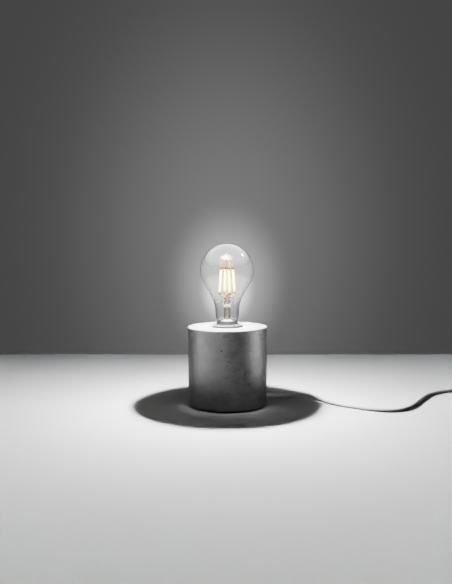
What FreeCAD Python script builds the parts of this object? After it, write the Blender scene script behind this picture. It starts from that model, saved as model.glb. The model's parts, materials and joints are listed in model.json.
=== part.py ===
import FreeCAD, Part
import Sketcher
import math
import os

# A desk lamp: a cast concrete cylinder, a porcelain lampholder sunk in it, a clear filament bulb
# and a cord with a rocker switch, a put-away coil and a flat two-pin plug.
# Origin: the middle of the underside. +Z is up and -Y is the front.

# Driving sizes in millimetres, one cell of the sheet each. Names in _turn are degrees.
SIZES = {
    # Concrete
    "foot_pad_inset": 3.0,
    "foot_pad_thickness": 2.0,
    "concrete_radius": 50.0,
    "concrete_height": 98.0,
    "concrete_edge_chamfer": 0.7,
    "concrete_web_thickness": 8.0,
    "cavity_radius": 33.0,
    "cavity_edge_fillet": 4.0,
    "plate_thickness": 2.0,
    "plate_clearance": 0.3,
    "plate_screw_turn": 90.0,
    "insert_radius": 2.0,
    "insert_length": 6.0,
    "insert_wall": 0.7,
    "base_screw_radius": 1.25,
    "base_screw_length": 7.0,
    "base_screw_head_radius": 2.3,
    "base_screw_head_height": 1.2,
    # Lampholder
    "holder_radius": 19.25,
    "holder_foot_radius": 18.4,
    "holder_step_drop": 24.0,
    "holder_rise": 2.0,
    "holder_height": 54.5,
    "holder_clearance": 0.35,
    "holder_rim_fillet": 1.3,
    "holder_mouth_chamfer": 0.8,
    "chamber_radius": 14.4,
    "chamber_height": 23.5,
    "partition_thickness": 4.0,
    "shell_radius": 14.0,
    "shell_wall": 0.4,
    "shell_drop": 1.2,
    "shell_flange_width": 3.5,
    "shell_clearance": 0.15,
    "strip_thickness": 0.5,
    "strip_width": 5.0,
    "slot_place": 8.0,
    "slot_clearance": 0.25,
    "terminal_side": 7.0,
    "terminal_height": 8.0,
    "terminal_place": 9.6,
    "terminal_bore_radius": 1.5,
    "terminal_screw_radius": 1.5,
    "terminal_screw_head_radius": 2.4,
    "terminal_screw_head_height": 1.6,
    "rim_screw_circle_radius": 16.45,
    "rim_screw_turn": -56.5,
    "rim_screw_head_radius": 1.45,
    "rim_screw_head_height": 0.7,
    "rim_screw_shank_radius": 1.0,
    "rim_screw_length": 16.0,
    # Fixing
    "bracket_width": 12.0,
    "bracket_thickness": 1.5,
    "bracket_collar_radius": 7.0,
    "bracket_collar_height": 5.0,
    "bracket_screw_radius": 1.2,
    "bracket_screw_length": 9.0,
    "bracket_screw_head_radius": 2.1,
    "bracket_screw_head_height": 1.3,
    "nipple_radius": 5.0,
    "nipple_wall": 1.3,
    "nipple_stand": 7.0,
    "nipple_hang": 9.0,
    "thread_clearance": 0.05,
    "washer_radius": 15.0,
    "washer_thickness": 1.5,
    "lock_washer_radius": 8.5,
    "lock_washer_thickness": 1.0,
    "lock_nut_flats": 14.0,
    "lock_nut_height": 4.0,
    # Cord entry
    "cord_radius": 2.5,
    "entry_height": 12.0,
    "entry_turn": -8.0,
    "entry_hole_radius": 4.6,
    "sleeve_radius": 4.0,
    "sleeve_reach": 12.0,
    "sleeve_tip_radius": 3.2,
    "sleeve_flange_radius": 6.0,
    "sleeve_flange_thickness": 1.5,
    "sleeve_flange_clearance": 0.9,
    "sleeve_bore_clearance": 0.05,
    "inner_bend_gap": 1.5,
    "clamp_length": 8.0,
    "clamp_width": 24.0,
    "clamp_thickness": 5.0,
    "clamp_wall_gap": 6.5,
    "clamp_split": 0.4,
    "clamp_screw_place": 8.0,
    "clamp_screw_radius": 1.3,
    "clamp_screw_head_radius": 2.4,
    "clamp_screw_head_height": 1.6,
    "wire_radius": 1.1,
    # Bulb
    "cap_radius": 13.2,
    "cap_wall": 0.35,
    "cap_height": 23.0,
    "cap_skirt_radius": 13.9,
    "cap_skirt_height": 4.0,
    "insulator_height": 3.4,
    "insulator_tip_radius": 5.6,
    "contact_radius": 4.6,
    "contact_height": 1.1,
    "glass_seat_rise": 3.7,
    "glass_wall": 0.8,
    "glass_radius": 34.0,
    "glass_centre_rise": 65.2,
    "belly_radius": 28.0,
    "throat_radius": 44.0,
    "neck_radius": 15.0,
    "neck_height": 12.5,
    "glass_shoulder_radius": 11.5,
    "stem_flare_radius": 11.0,
    "stem_tube_radius": 3.4,
    "stem_press_width": 8.6,
    "stem_press_thickness": 4.6,
    "stem_height": 25.0,
    "stem_press_height": 8.0,
    "stem_rod_radius": 1.0,
    "stem_rod_height": 80.0,
    "filament_radius": 1.2,
    "filament_length": 29.5,
    "filament_cap_radius": 0.75,
    "filament_cap_length": 2.6,
    "filament_low_height": 37.5,
    "filament_low_circle_radius": 10.0,
    "filament_high_circle_radius": 7.6,
    "filament_turn": 18.0,
    "support_wire_radius": 0.35,
    "support_inset": 1.9,
    "driver_radius": 12.3,
    "driver_thickness": 1.6,
    "driver_height": 9.0,
    # Switch
    "switch_length": 62.0,
    "switch_width": 25.0,
    "switch_height": 14.0,
    "switch_end_width": 11.0,
    "switch_end_length": 17.0,
    "switch_wall": 1.8,
    "switch_edge_fillet": 2.0,
    "switch_split": 0.1,
    "switch_place_x": 332.0,
    "switch_place_y": 62.0,
    "rocker_length": 19.0,
    "rocker_width": 11.0,
    "rocker_clearance": 0.5,
    "rocker_rise": 2.6,
    "rocker_depth": 5.2,
    "rocker_tilt_turn": 8.0,
    "pivot_radius": 1.0,
    "pivot_clearance": 0.05,
    "pivot_drop": 2.2,
    "contact_bar_length": 7.0,
    "contact_bar_width": 3.4,
    "contact_bar_height": 1.0,
    "switch_screw_place": 21.0,
    "switch_screw_radius": 1.2,
    # Coil and tie
    "coil_inner_radius": 20.0,
    "coil_pitch": 5.5,
    "coil_reverse_step": 0.8,
    "coil_lift": 0.8,
    "coil_tail_length": 20.0,
    "coil_lead_length": 5.0,
    "tie_width": 7.0,
    "tie_thickness": 0.7,
    "tie_clearance": 0.08,
    # Plug
    "plug_length": 36.0,
    "plug_width": 26.0,
    "plug_end_width": 14.0,
    "plug_height": 14.0,
    "plug_edge_fillet": 3.0,
    "plug_relief_length": 20.0,
    "plug_relief_radius": 4.6,
    "plug_relief_tail_radius": 2.9,
    "pin_radius": 2.0,
    "pin_length": 19.0,
    "pin_spacing": 18.6,
    "pin_sleeve_radius": 1.9,
    "pin_sleeve_length": 10.0,
    # Working values
    "cut_overrun": 1.0,
}

ROCKER_DIP_SHARE = 0.5
NUT_SIDES = 6

# How far the base plate and its screws stand between the cavity's wall and the next edge outwards
PLATE_REACH_SHARE = 0.5
SCREW_REACH_SHARE = 0.5

# How much of the shorter run an arc of a cord may take, and the coil's measuring step over its radius
RUN_SHARE = 0.45
COIL_STEP_SHARE = 0.5

# The coil's half turns on its lower and on its upper layer
INWARD_HALF_TURNS = 7
OUTWARD_HALF_TURNS = 6

# Places along the plug's side and how wide it is there, between its narrow and its wide end
PLUG_SIDE_SHARES = ((0.0, 0.0), (0.42, 0.55), (0.8, 1.0), (1.0, 1.0))

# Two places closer than this count as one
NEAR = 1e-4

doc = FreeCAD.newDocument("desk_lamp")
sheet = doc.addObject("Spreadsheet::Sheet", "Sizes")
for row, (name, value) in enumerate(SIZES.items(), start=1):
    sheet.set(f"A{row}", name)
    sheet.set(f"B{row}", str(value))
    sheet.setAlias(f"B{row}", name)
doc.recompute()


class Size:
    """A size as the sheet's expression and as its number, so that sums of sizes stay bound."""

    def __init__(self, text, number):
        self.text = text
        self.number = number

    def __add__(self, other):
        return Size(f"({self.text} + {other.text})", self.number + other.number)

    def __sub__(self, other):
        return Size(f"({self.text} - {other.text})", self.number - other.number)

    def __mul__(self, share):
        return Size(f"({self.text} * {share})", self.number * share)

    def __truediv__(self, share):
        return Size(f"({self.text} / {share})", self.number / share)

    def __neg__(self):
        return Size(f"(-{self.text})", -self.number)


def size(name):
    return Size(f"Sizes.{name}", float(sheet.get(name)))


def around(radius, turn, more=0.0):
    """The x and y of a place on a circle, at the sheet's angle and some whole steps more."""
    angle = math.radians(turn.number + more)
    share = f"deg + {more} deg"
    across = Size(f"({radius.text} * cos({turn.text} * 1 {share}))", radius.number * math.cos(angle))
    along = Size(f"({radius.text} * sin({turn.text} * 1 {share}))", radius.number * math.sin(angle))
    return across, along


ZERO = Size("0", 0.0)
X = FreeCAD.Vector(1, 0, 0)
Y = FreeCAD.Vector(0, 1, 0)
Z = FreeCAD.Vector(0, 0, 1)
NODES = []


def node(item, label):
    """Marks an object as a finished piece: its label names its file."""
    item.Label = label
    NODES.append(item)
    return item


def bind(item, **places):
    for name, value in places.items():
        item.setExpression(name, value.text)


def put(item, x=ZERO, y=ZERO, z=ZERO, turn=None):
    """Gives an object its bound place, and a turn where it needs one."""
    if turn is not None:
        item.Placement = FreeCAD.Placement(FreeCAD.Vector(), turn)
    for axis, value in (("x", x), ("y", y), ("z", z)):
        item.setExpression(f"Placement.Base.{axis}", value.text)
    return item


def cylinder(name, radius, height, x=ZERO, y=ZERO, z=ZERO, turn=None):
    item = doc.addObject("Part::Cylinder", name)
    bind(item, Radius=radius, Height=height)
    return put(item, x, y, z, turn)


def cone(name, low_radius, high_radius, height, x=ZERO, y=ZERO, z=ZERO, turn=None):
    item = doc.addObject("Part::Cone", name)
    bind(item, Radius1=low_radius, Radius2=high_radius, Height=height)
    return put(item, x, y, z, turn)


def box(name, length, width, height, x=ZERO, y=ZERO, z=ZERO):
    """A box centred on x and y that stands on z."""
    item = doc.addObject("Part::Box", name)
    bind(item, Length=length, Width=width, Height=height)
    return put(item, x - length / 2, y - width / 2, z)


def cut(name, base, *tools):
    for count, tool in enumerate(tools, start=1):
        item = doc.addObject("Part::Cut", f"{name}_cut_{count}")
        item.Base = base
        item.Tool = tool
        base = item
    return base


def fuse(name, *parts):
    item = doc.addObject("Part::MultiFuse", f"{name}_fuse")
    item.Shapes = list(parts)
    return item


def group(name, *parts):
    item = doc.addObject("Part::Compound", f"{name}_group")
    item.Links = list(parts)
    return item


def plane_of(body, role):
    return next(f for f in body.Origin.OriginFeatures if f.Role == role)


def outline(body, name, role, corners):
    """A closed sketch of straight lines whose every corner is bound to the sheet."""
    sketch = body.newObject("Sketcher::SketchObject", name)
    sketch.AttachmentSupport = [(plane_of(body, role), "")]
    sketch.MapMode = "FlatFace"
    points = [FreeCAD.Vector(a.number, b.number, 0) for a, b in corners]
    for start, end in zip(points, points[1:] + points[:1]):
        sketch.addGeometry(Part.LineSegment(start, end), False)
    for i in range(len(points)):
        sketch.addConstraint(Sketcher.Constraint("Coincident", i, 2, (i + 1) % len(points), 1))
    for i, corner in enumerate(corners):
        for kind, axis, value in (("DistanceX", -2, corner[0]), ("DistanceY", -1, corner[1])):
            if value is ZERO:
                sketch.addConstraint(Sketcher.Constraint("PointOnObject", i, 1, axis))
                continue
            index = sketch.addConstraint(Sketcher.Constraint(kind, -1, 1, i, 1, value.number))
            sketch.setExpression(f"Constraints[{index}]", value.text)
    return sketch


def turned(name, corners):
    """A body turned about the Z axis from corners of radius and height."""
    body = doc.addObject("PartDesign::Body", f"{name}_solid")
    sketch = outline(body, f"{name}_profile", "XZ_Plane", corners)
    feature = body.newObject("PartDesign::Revolution", f"{name}_turned")
    feature.Profile = sketch
    feature.ReferenceAxis = (sketch, ["V_Axis"])
    feature.Angle = 360.0
    sketch.Visibility = False
    doc.recompute()
    return body


def padded(name, role, corners, height):
    """A body padded from a flat outline."""
    body = doc.addObject("PartDesign::Body", f"{name}_solid")
    sketch = outline(body, f"{name}_outline", role, corners)
    feature = body.newObject("PartDesign::Pad", f"{name}_pad")
    feature.Profile = sketch
    feature.setExpression("Length", height.text)
    doc.recompute()
    return body


def ring_edges(feature, radius, height):
    """The names of the full circles of one radius at one height."""
    found = []
    for i, edge in enumerate(feature.Shape.Edges, start=1):
        curve = edge.Curve
        if not isinstance(curve, Part.Circle) or abs(curve.Radius - radius.number) > NEAR:
            continue
        if abs(curve.Center.z - height.number) < NEAR:
            found.append(f"Edge{i}")
    return found


def dress(body, kind, name, edges, amount):
    """A fillet or chamfer on the body's last feature."""
    feature = body.newObject(f"PartDesign::{kind}", name)
    feature.Base = (body.Group[-2], edges)
    feature.setExpression("Radius" if kind == "Fillet" else "Size", amount.text)
    doc.recompute()
    return feature


# Levels that the pieces share
pad_top = size("foot_pad_thickness")
concrete_top = pad_top + size("concrete_height")
holder_top = concrete_top + size("holder_rise")
bracket_base = holder_top - size("holder_height") - size("bracket_thickness")
holder_base = bracket_base + size("bracket_thickness")
web_base = bracket_base - size("concrete_web_thickness")
plate_seat = pad_top + size("plate_thickness") + size("plate_clearance") / 2
plate_top = pad_top + size("plate_thickness")
foot_radius = size("concrete_radius") - size("foot_pad_inset")
plate_room = size("concrete_radius") - size("cavity_radius")
plate_radius = size("cavity_radius") + plate_room * PLATE_REACH_SHARE
plate_screw_radius = size("cavity_radius") + (plate_radius - size("cavity_radius")) * SCREW_REACH_SHARE
partition_base = holder_base + size("chamber_height")
partition_top = partition_base + size("partition_thickness")
entry_height = size("entry_height")
entry_direction = FreeCAD.Vector(
    math.cos(math.radians(float(sheet.get("entry_turn")))),
    math.sin(math.radians(float(sheet.get("entry_turn")))),
    0,
)
overrun = size("cut_overrun")
cord_radius = size("cord_radius")

# The turn that lays a cylinder's axis along the cord's entry, pointing outwards
along_entry = FreeCAD.Rotation(Z, entry_direction)


def entry_place(distance):
    """The bound x and y of a place on the entry's axis, at a distance from the lamp's axis."""
    return around(distance, size("entry_turn"))


def plate_screw_places():
    return [around(plate_screw_radius, size("plate_screw_turn"), more) for more in (0, 120, 240)]


# Foot pad
foot_pad = turned("foot_pad", [
    (ZERO, ZERO),
    (foot_radius, ZERO),
    (foot_radius, pad_top),
    (ZERO, pad_top),
])
node(foot_pad, "foot_pad")


# Concrete
def make_concrete():
    radius = size("concrete_radius")
    bore = size("holder_radius") + size("holder_clearance")
    recess = plate_radius + size("plate_clearance")
    body = turned("concrete", [
        (recess, pad_top),
        (radius, pad_top),
        (radius, concrete_top),
        (bore, concrete_top),
        (bore, bracket_base),
        (size("nipple_radius") + size("plate_clearance"), bracket_base),
        (size("nipple_radius") + size("plate_clearance"), web_base),
        (size("cavity_radius"), web_base),
        (size("cavity_radius"), plate_seat),
        (recess, plate_seat),
    ])
    feature = body.Tip
    edges = ring_edges(feature, radius, concrete_top) + ring_edges(feature, radius, pad_top)
    edges += ring_edges(feature, bore, concrete_top)
    dress(body, "Chamfer", "concrete_edges", edges, size("concrete_edge_chamfer"))
    corner = ring_edges(body.Tip, size("cavity_radius"), web_base)
    dress(body, "Fillet", "cavity_corner", corner, size("cavity_edge_fillet"))
    x, y = entry_place(size("cavity_radius") - size("cavity_edge_fillet"))
    reach = radius - size("cavity_radius") + size("cavity_edge_fillet") + overrun
    tools = [cylinder("entry_hole", size("entry_hole_radius"), reach, x, y, entry_height, along_entry)]
    for count, (x, y) in enumerate(plate_screw_places(), start=1):
        depth = size("insert_length") + overrun
        pocket_base = plate_seat - overrun
        tools.append(cylinder(f"insert_pocket_{count}", size("insert_radius"), depth, x, y, pocket_base))
    node(cut("concrete", body, *tools), "concrete_body")


make_concrete()


# Base plate, inserts and screws
def make_base():
    plate = cylinder("plate_disc", plate_radius, size("plate_thickness"), z=pad_top)
    holes, inserts, screws = [], [], []
    head = size("base_screw_head_radius")
    shank = size("base_screw_radius")
    gap = size("thread_clearance")
    for count, (x, y) in enumerate(plate_screw_places(), start=1):
        depth = size("base_screw_head_height")
        sink = cone(f"plate_sink_{count}", head + gap, shank + gap, depth, x, y, pad_top)
        through = size("plate_thickness") + overrun
        hole = cylinder(f"plate_hole_{count}", shank + gap * 2, through, x, y, pad_top)
        holes += [sink, hole]
        length = size("insert_length")
        outside = cylinder(f"insert_{count}", size("insert_radius") - gap, length, x, y, plate_seat)
        bore = size("insert_radius") - size("insert_wall")
        inside = cylinder(f"insert_bore_{count}", bore, length + overrun * 2, x, y, plate_seat - overrun)
        inserts.append(cut(f"insert_{count}", outside, inside))
        cap = cone(f"base_screw_head_{count}", head, shank, depth, x, y, pad_top)
        stem = cylinder(f"base_screw_shank_{count}", shank, size("base_screw_length"), x, y, pad_top)
        screws.append(fuse(f"base_screw_{count}", cap, stem))
    node(cut("base_plate", plate, *holes), "base_plate")
    node(group("threaded_inserts", *inserts), "threaded_inserts")
    node(group("base_screws", *screws), "base_screws")


make_base()


# Lampholder
def make_holder():
    radius = size("holder_radius")
    foot = size("holder_foot_radius")
    step = holder_top - size("holder_step_drop")
    bore = size("shell_radius") + size("shell_clearance")
    body = turned("holder", [
        (size("chamber_radius"), holder_base),
        (foot, holder_base),
        (foot, step),
        (radius, step),
        (radius, holder_top),
        (bore, holder_top),
        (bore, partition_top),
        (ZERO, partition_top),
        (ZERO, partition_base),
        (size("chamber_radius"), partition_base),
    ])
    edges = ring_edges(body.Tip, radius, holder_top)
    dress(body, "Fillet", "holder_rim", edges, size("holder_rim_fillet"))
    edges = ring_edges(body.Tip, bore, holder_top)
    dress(body, "Chamfer", "holder_mouth", edges, size("holder_mouth_chamfer"))
    gap = size("slot_clearance")
    tools = []
    for count, side in enumerate((1, -1), start=1):
        place = size("slot_place") * side
        length = size("strip_thickness") + gap * 2
        width = size("strip_width") + gap * 2
        height = size("partition_thickness") + overrun * 2
        low = partition_base - overrun
        tools.append(box(f"holder_slot_{count}", length, width, height, place, ZERO, low))
        x, y = around(size("rim_screw_circle_radius"), size("rim_screw_turn"), 180 * (count - 1))
        depth = size("rim_screw_length") + overrun
        low = holder_top - size("rim_screw_length")
        tools.append(cylinder(f"rim_hole_{count}", size("rim_screw_shank_radius"), depth, x, y, low))
        y = (size("chamber_radius") + foot) / 2 * side
        depth = size("bracket_screw_length") + overrun
        low = holder_base - overrun
        tools.append(cylinder(f"bracket_hole_{count}", size("bracket_screw_radius"), depth, ZERO, y, low))
    node(cut("holder", body, *tools), "holder_body")


make_holder()


def make_screw_shell():
    outside = size("shell_radius")
    inside = outside - size("shell_wall")
    top = holder_top - size("shell_drop")
    floor = partition_top + size("shell_wall")
    mouth = outside - size("shell_flange_width")
    node(turned("screw_shell", [
        (mouth, partition_top),
        (outside, partition_top),
        (outside, top),
        (inside, top),
        (inside, floor),
        (mouth, floor),
    ]), "screw_shell")


make_screw_shell()


def bent_strip(points, thickness, width):
    """A flat strip, bent along points in the XZ plane, with mitred corners and Y as its width."""
    sides = ([], [])
    for i, point in enumerate(points):
        before = point - points[i - 1] if i else points[1] - point
        after = points[i + 1] - point if i + 1 < len(points) else before
        before.normalize()
        after.normalize()
        middle = before + after
        middle.normalize()
        normal = FreeCAD.Vector(-middle.z, 0, middle.x)
        half = thickness / 2 / abs(middle.dot(before))
        sides[0].append(point + normal * half)
        sides[1].append(point - normal * half)
    corners = [p - Y * (width / 2) for p in sides[0] + sides[1][::-1]]
    return Part.Face(Part.makePolygon(corners + corners[:1])).extrude(Y * width)


def shape_feature(label, shape):
    item = doc.addObject("Part::Feature", label)
    item.Shape = shape
    item.Placement = FreeCAD.Placement()
    return node(item, label)


# Contact levels: the bulb's tip rests just above the sprung tongue
glass_seat = holder_top + size("glass_seat_rise")
cap_base = glass_seat - size("cap_height")
contact_tip = cap_base - size("insulator_height") - size("contact_height")


def make_contacts():
    thickness = size("strip_thickness").number
    width = size("strip_width").number
    low = partition_base.number - thickness / 2
    high = partition_top.number + thickness / 2
    outer = size("terminal_place").number + size("terminal_side").number / 2
    slot = size("slot_place").number
    tip = contact_tip.number - size("plate_clearance").number - thickness
    bend = size("contact_radius").number
    centre = bent_strip([
        FreeCAD.Vector(outer, 0, low),
        FreeCAD.Vector(slot, 0, low),
        FreeCAD.Vector(slot, 0, high),
        FreeCAD.Vector(bend, 0, high),
        FreeCAD.Vector(thickness, 0, tip),
        FreeCAD.Vector(-bend / 2, 0, tip - thickness),
    ], thickness, width)
    shape_feature("centre_contact", centre)
    floor = partition_top.number + size("shell_wall").number
    edge = size("shell_radius").number - size("shell_flange_width").number
    side = bent_strip([
        FreeCAD.Vector(-outer, 0, low),
        FreeCAD.Vector(-slot, 0, low),
        FreeCAD.Vector(-slot, 0, floor + thickness / 2),
        FreeCAD.Vector(-edge - thickness * 2, 0, floor + thickness / 2),
    ], thickness, width)
    shape_feature("side_contact", side)


make_contacts()


def make_terminals():
    blocks, screws = [], []
    side = size("terminal_side")
    top = partition_base - size("strip_thickness")
    low = top - size("terminal_height")
    gap = size("thread_clearance")
    out = FreeCAD.Rotation(Z, -Y)
    for count, way in enumerate((1, -1), start=1):
        x = size("terminal_place") * way
        solid = box(f"terminal_{count}", side, side, size("terminal_height"), x, ZERO, low)
        middle = low + size("terminal_height") / 2
        depth = size("terminal_height") - side / 4
        bore = size("terminal_bore_radius")
        wire_hole = cylinder(f"terminal_bore_{count}", bore, depth, x, ZERO, low - overrun)
        screw_radius = size("terminal_screw_radius")
        screw_hole = cylinder(f"terminal_thread_{count}", screw_radius + gap, side, x, -side / 4, middle, out)
        blocks.append(cut(f"terminal_{count}", solid, wire_hole, screw_hole))
        shank = cylinder(f"terminal_shank_{count}", screw_radius, side / 4, x, -side / 4, middle, out)
        head_radius = size("terminal_screw_head_radius")
        head_height = size("terminal_screw_head_height")
        head = cylinder(f"terminal_head_{count}", head_radius, head_height, x, -side / 2, middle, out)
        screws.append(fuse(f"terminal_screw_{count}", shank, head))
    node(group("terminal_blocks", *blocks), "terminal_blocks")
    node(group("terminal_screws", *screws), "terminal_screws")


make_terminals()


def make_rim_screws():
    screws = []
    for count in (1, 2):
        x, y = around(size("rim_screw_circle_radius"), size("rim_screw_turn"), 180 * (count - 1))
        radius = size("rim_screw_shank_radius") - size("thread_clearance")
        length = size("rim_screw_length")
        shank = cylinder(f"rim_shank_{count}", radius, length, x, y, holder_top - length)
        radius = size("rim_screw_head_radius")
        head = cylinder(f"rim_head_{count}", radius, size("rim_screw_head_height"), x, y, holder_top)
        screws.append(fuse(f"rim_screw_{count}", shank, head))
    node(group("rim_screws", *screws), "rim_screws")


make_rim_screws()


# Bracket, nipple, washers and nut
def make_fixing():
    gap = size("thread_clearance")
    foot = size("holder_foot_radius")
    screw_place = (size("chamber_radius") + foot) / 2
    strip = box("bracket_strip", size("bracket_width"), foot * 2, size("bracket_thickness"), z=bracket_base)
    disc = cylinder("bracket_round", foot, size("bracket_thickness"), z=bracket_base)
    ends = doc.addObject("Part::MultiCommon", "bracket_ends")
    ends.Shapes = [strip, disc]
    collar_height = size("bracket_collar_height") + size("bracket_thickness")
    collar = cylinder("bracket_collar", size("bracket_collar_radius"), collar_height, z=bracket_base)
    low = bracket_base - overrun
    tools = [cylinder("bracket_thread", size("nipple_radius") + gap, collar_height + overrun * 2, z=low)]
    screws = []
    for count, way in enumerate((1, -1), start=1):
        y = screw_place * way
        radius = size("bracket_screw_radius")
        head = size("bracket_screw_head_radius")
        depth = size("bracket_screw_head_height")
        through = size("bracket_thickness") + overrun * 2
        tools.append(cylinder(f"bracket_screw_hole_{count}", radius + gap, through, ZERO, y, low))
        tools.append(cone(f"bracket_sink_{count}", head + gap, radius + gap, depth, ZERO, y, bracket_base))
        length = size("bracket_screw_length")
        shank = cylinder(f"bracket_shank_{count}", radius - gap, length, ZERO, y, bracket_base)
        taper = cone(f"bracket_head_{count}", head, radius - gap, depth, ZERO, y, bracket_base)
        screws.append(fuse(f"bracket_screw_{count}", shank, taper))
    node(cut("bracket", fuse("bracket", ends, collar), *tools), "holder_bracket")
    node(group("bracket_screws", *screws), "bracket_screws")
    low = web_base - size("nipple_hang")
    length = size("nipple_hang") + size("concrete_web_thickness") + size("nipple_stand")
    inside = size("nipple_radius") - size("nipple_wall")
    tube = cylinder("nipple_tube", size("nipple_radius"), length, z=low)
    bore = cylinder("nipple_bore", inside, length + overrun * 2, z=low - overrun)
    node(cut("nipple", tube, bore), "nipple")
    clear = size("nipple_radius") + gap * 2
    thickness = size("washer_thickness")
    level = web_base - thickness
    disc = cylinder("washer_disc", size("washer_radius"), thickness, z=level)
    hole = cylinder("washer_hole", clear, thickness + overrun * 2, z=level - overrun)
    node(cut("web_washer", disc, hole), "web_washer")
    thickness = size("lock_washer_thickness")
    level = level - thickness
    disc = cylinder("lock_disc", size("lock_washer_radius"), thickness, z=level)
    hole = cylinder("lock_hole", clear, thickness + overrun * 2, z=level - overrun)
    node(cut("lock_washer", disc, hole), "lock_washer")
    height = size("lock_nut_height")
    level = level - height
    prism = doc.addObject("Part::Prism", "nut_prism")
    prism.Polygon = NUT_SIDES
    corner_share = math.cos(math.pi / NUT_SIDES)
    bind(prism, Circumradius=size("lock_nut_flats") / 2 / corner_share, Height=height)
    put(prism, z=level)
    hole = cylinder("nut_hole", size("nipple_radius") + gap, height + overrun * 2, z=level - overrun)
    node(cut("lock_nut", prism, hole), "lock_nut")


make_fixing()


# Cord entry: the tapered sleeve and the clamp inside, which leaves the cord room to bend upwards
sleeve_end = size("concrete_radius") + size("sleeve_reach")
clamp_start = size("cavity_radius") - size("clamp_wall_gap") - size("clamp_length")
clamp_place = clamp_start + size("clamp_length") / 2
inner_bend = clamp_start - size("inner_bend_gap")


def make_entry():
    flange_end = size("cavity_radius") - size("sleeve_flange_clearance")
    flange_start = flange_end - size("sleeve_flange_thickness")
    x, y = entry_place(flange_start)
    flange = cylinder("sleeve_flange", size("sleeve_flange_radius"), size("sleeve_flange_thickness"),
                      x, y, entry_height, along_entry)
    body_length = size("concrete_radius") - flange_start
    barrel = cylinder("sleeve_barrel", size("sleeve_radius"), body_length, x, y, entry_height, along_entry)
    bore = cord_radius + size("sleeve_bore_clearance")
    bore_length = sleeve_end - flange_start + overrun * 2
    hole = cylinder("sleeve_bore", bore, bore_length, *entry_place(flange_start - overrun),
                    entry_height, along_entry)
    x, y = entry_place(size("concrete_radius"))
    taper = cone("sleeve_taper", size("sleeve_radius"), size("sleeve_tip_radius"), size("sleeve_reach"),
                 x, y, entry_height, along_entry)
    node(cut("strain_relief", fuse("sleeve", flange, barrel, taper), hole), "strain_relief")
    make_clamp()


def make_clamp():
    """Two blocks that grip the cord inside the cavity, the lower one on the base plate."""
    turn = FreeCAD.Rotation(Z, float(sheet.get("entry_turn")))
    length = size("clamp_length")
    width = size("clamp_width")
    gap = size("thread_clearance")
    low_height = entry_height - size("clamp_split") / 2 - plate_top
    high = entry_height + size("clamp_split") / 2
    upper_height = size("clamp_thickness")
    blocks = []
    for name, level, height in (("lower", plate_top, low_height), ("upper", high, upper_height)):
        block = doc.addObject("Part::Box", f"clamp_{name}_block")
        bind(block, Length=length, Width=width, Height=height)
        place_x, place_y = entry_place(clamp_start)
        side_x, side_y = around(width / 2, size("entry_turn"), -90)
        put(block, place_x + side_x, place_y + side_y, level, turn)
        blocks.append(block)
    tools = []
    screws = []
    total = low_height + size("clamp_split") + upper_height
    for count, more in enumerate((90, -90), start=1):
        x, y = entry_place(clamp_place)
        side_x, side_y = around(size("clamp_screw_place"), size("entry_turn"), more)
        place = (x + side_x, y + side_y)
        radius = size("clamp_screw_radius")
        through = total + overrun * 2
        tools.append(cylinder(f"clamp_hole_{count}", radius, through, *place, plate_top - overrun))
        shank = cylinder(f"clamp_shank_{count}", radius - gap, total, *place, plate_top)
        head_radius = size("clamp_screw_head_radius")
        head_height = size("clamp_screw_head_height")
        head = cylinder(f"clamp_head_{count}", head_radius, head_height, *place, plate_top + total)
        screws.append(fuse(f"clamp_screw_{count}", shank, head))
    groove_radius = cord_radius + size("sleeve_bore_clearance")
    groove = cylinder("clamp_groove", groove_radius, length + overrun * 2,
                      *entry_place(clamp_start - overrun), entry_height, along_entry)
    for name, block in zip(("lower", "upper"), blocks):
        node(cut(f"clamp_{name}", block, groove, *tools), f"clamp_{name}")
    node(group("clamp_screws", *screws), "clamp_screws")


make_entry()


# Cords: straight runs joined by tangent arcs
def corner_arc(before, corner, after, radius=None):
    """The points of the arc that rounds one corner: start, middle and end, and its radius."""
    into = corner - before
    away = after - corner
    shorter = min(into.Length, away.Length)
    into.normalize()
    away.normalize()
    turn = into.getAngle(away)
    reach = RUN_SHARE * shorter if radius is None else radius * math.tan(turn / 2)
    bend = reach / math.tan(turn / 2)
    start = corner - into * reach
    end = corner + away * reach
    inward = away - into
    inward.normalize()
    middle = corner + inward * (bend / math.cos(turn / 2) - bend)
    return start, middle, end, bend


def cord_path(points, radius=None):
    """One wire of straight runs and tangent arcs along a route, and the arcs' radii."""
    edges, radii = [], []
    last = points[0]
    for before, corner, after in zip(points, points[1:], points[2:]):
        start, middle, end, bend = corner_arc(before, corner, after, radius)
        edges.append(Part.LineSegment(last, start).toShape())
        edges.append(Part.Arc(start, middle, end).toShape())
        radii.append(bend)
        last = end
    edges.append(Part.LineSegment(last, points[-1]).toShape())
    return Part.Wire(edges), radii


def tube(path, radius):
    """A solid of one round section along a path, with its volume measured against the path."""
    first = path.Edges[0]
    start = path.OrderedVertexes[0].Point
    direction = first.tangentAt(first.FirstParameter)
    ring = Part.Wire(Part.Circle(start, direction, radius).toShape())
    solid = path.makePipeShell([ring], True, False)
    if solid.Volume < 0:
        solid.reverse()
    share = solid.Volume / (math.pi * radius ** 2 * path.Length)
    print(f"tube of {path.Length:.1f} mm, volume over section times length {share:.4f}")
    return solid


def inner_point(distance, height):
    return entry_direction * distance + Z * height


# The cord crosses the concrete's surface here: the inner and the free cord meet
entry_face = inner_point(size("concrete_radius").number, entry_height.number)


def make_inner_cord():
    """The cord inside the lamp: in through the sleeve, round one bend and up the nipple."""
    route = [
        entry_face,
        inner_point(0, entry_height.number),
        inner_point(0, sheath_end.number),
    ]
    path, radii = cord_path(route, inner_bend.number)
    print("inner cord bend", [round(r, 1) for r in radii])
    shape_feature("cord_inner", tube(path, cord_radius.number))


sheath_end = bracket_base + size("nipple_stand")
wire_end = partition_base - size("strip_thickness") - size("terminal_side") * 0.5


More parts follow.
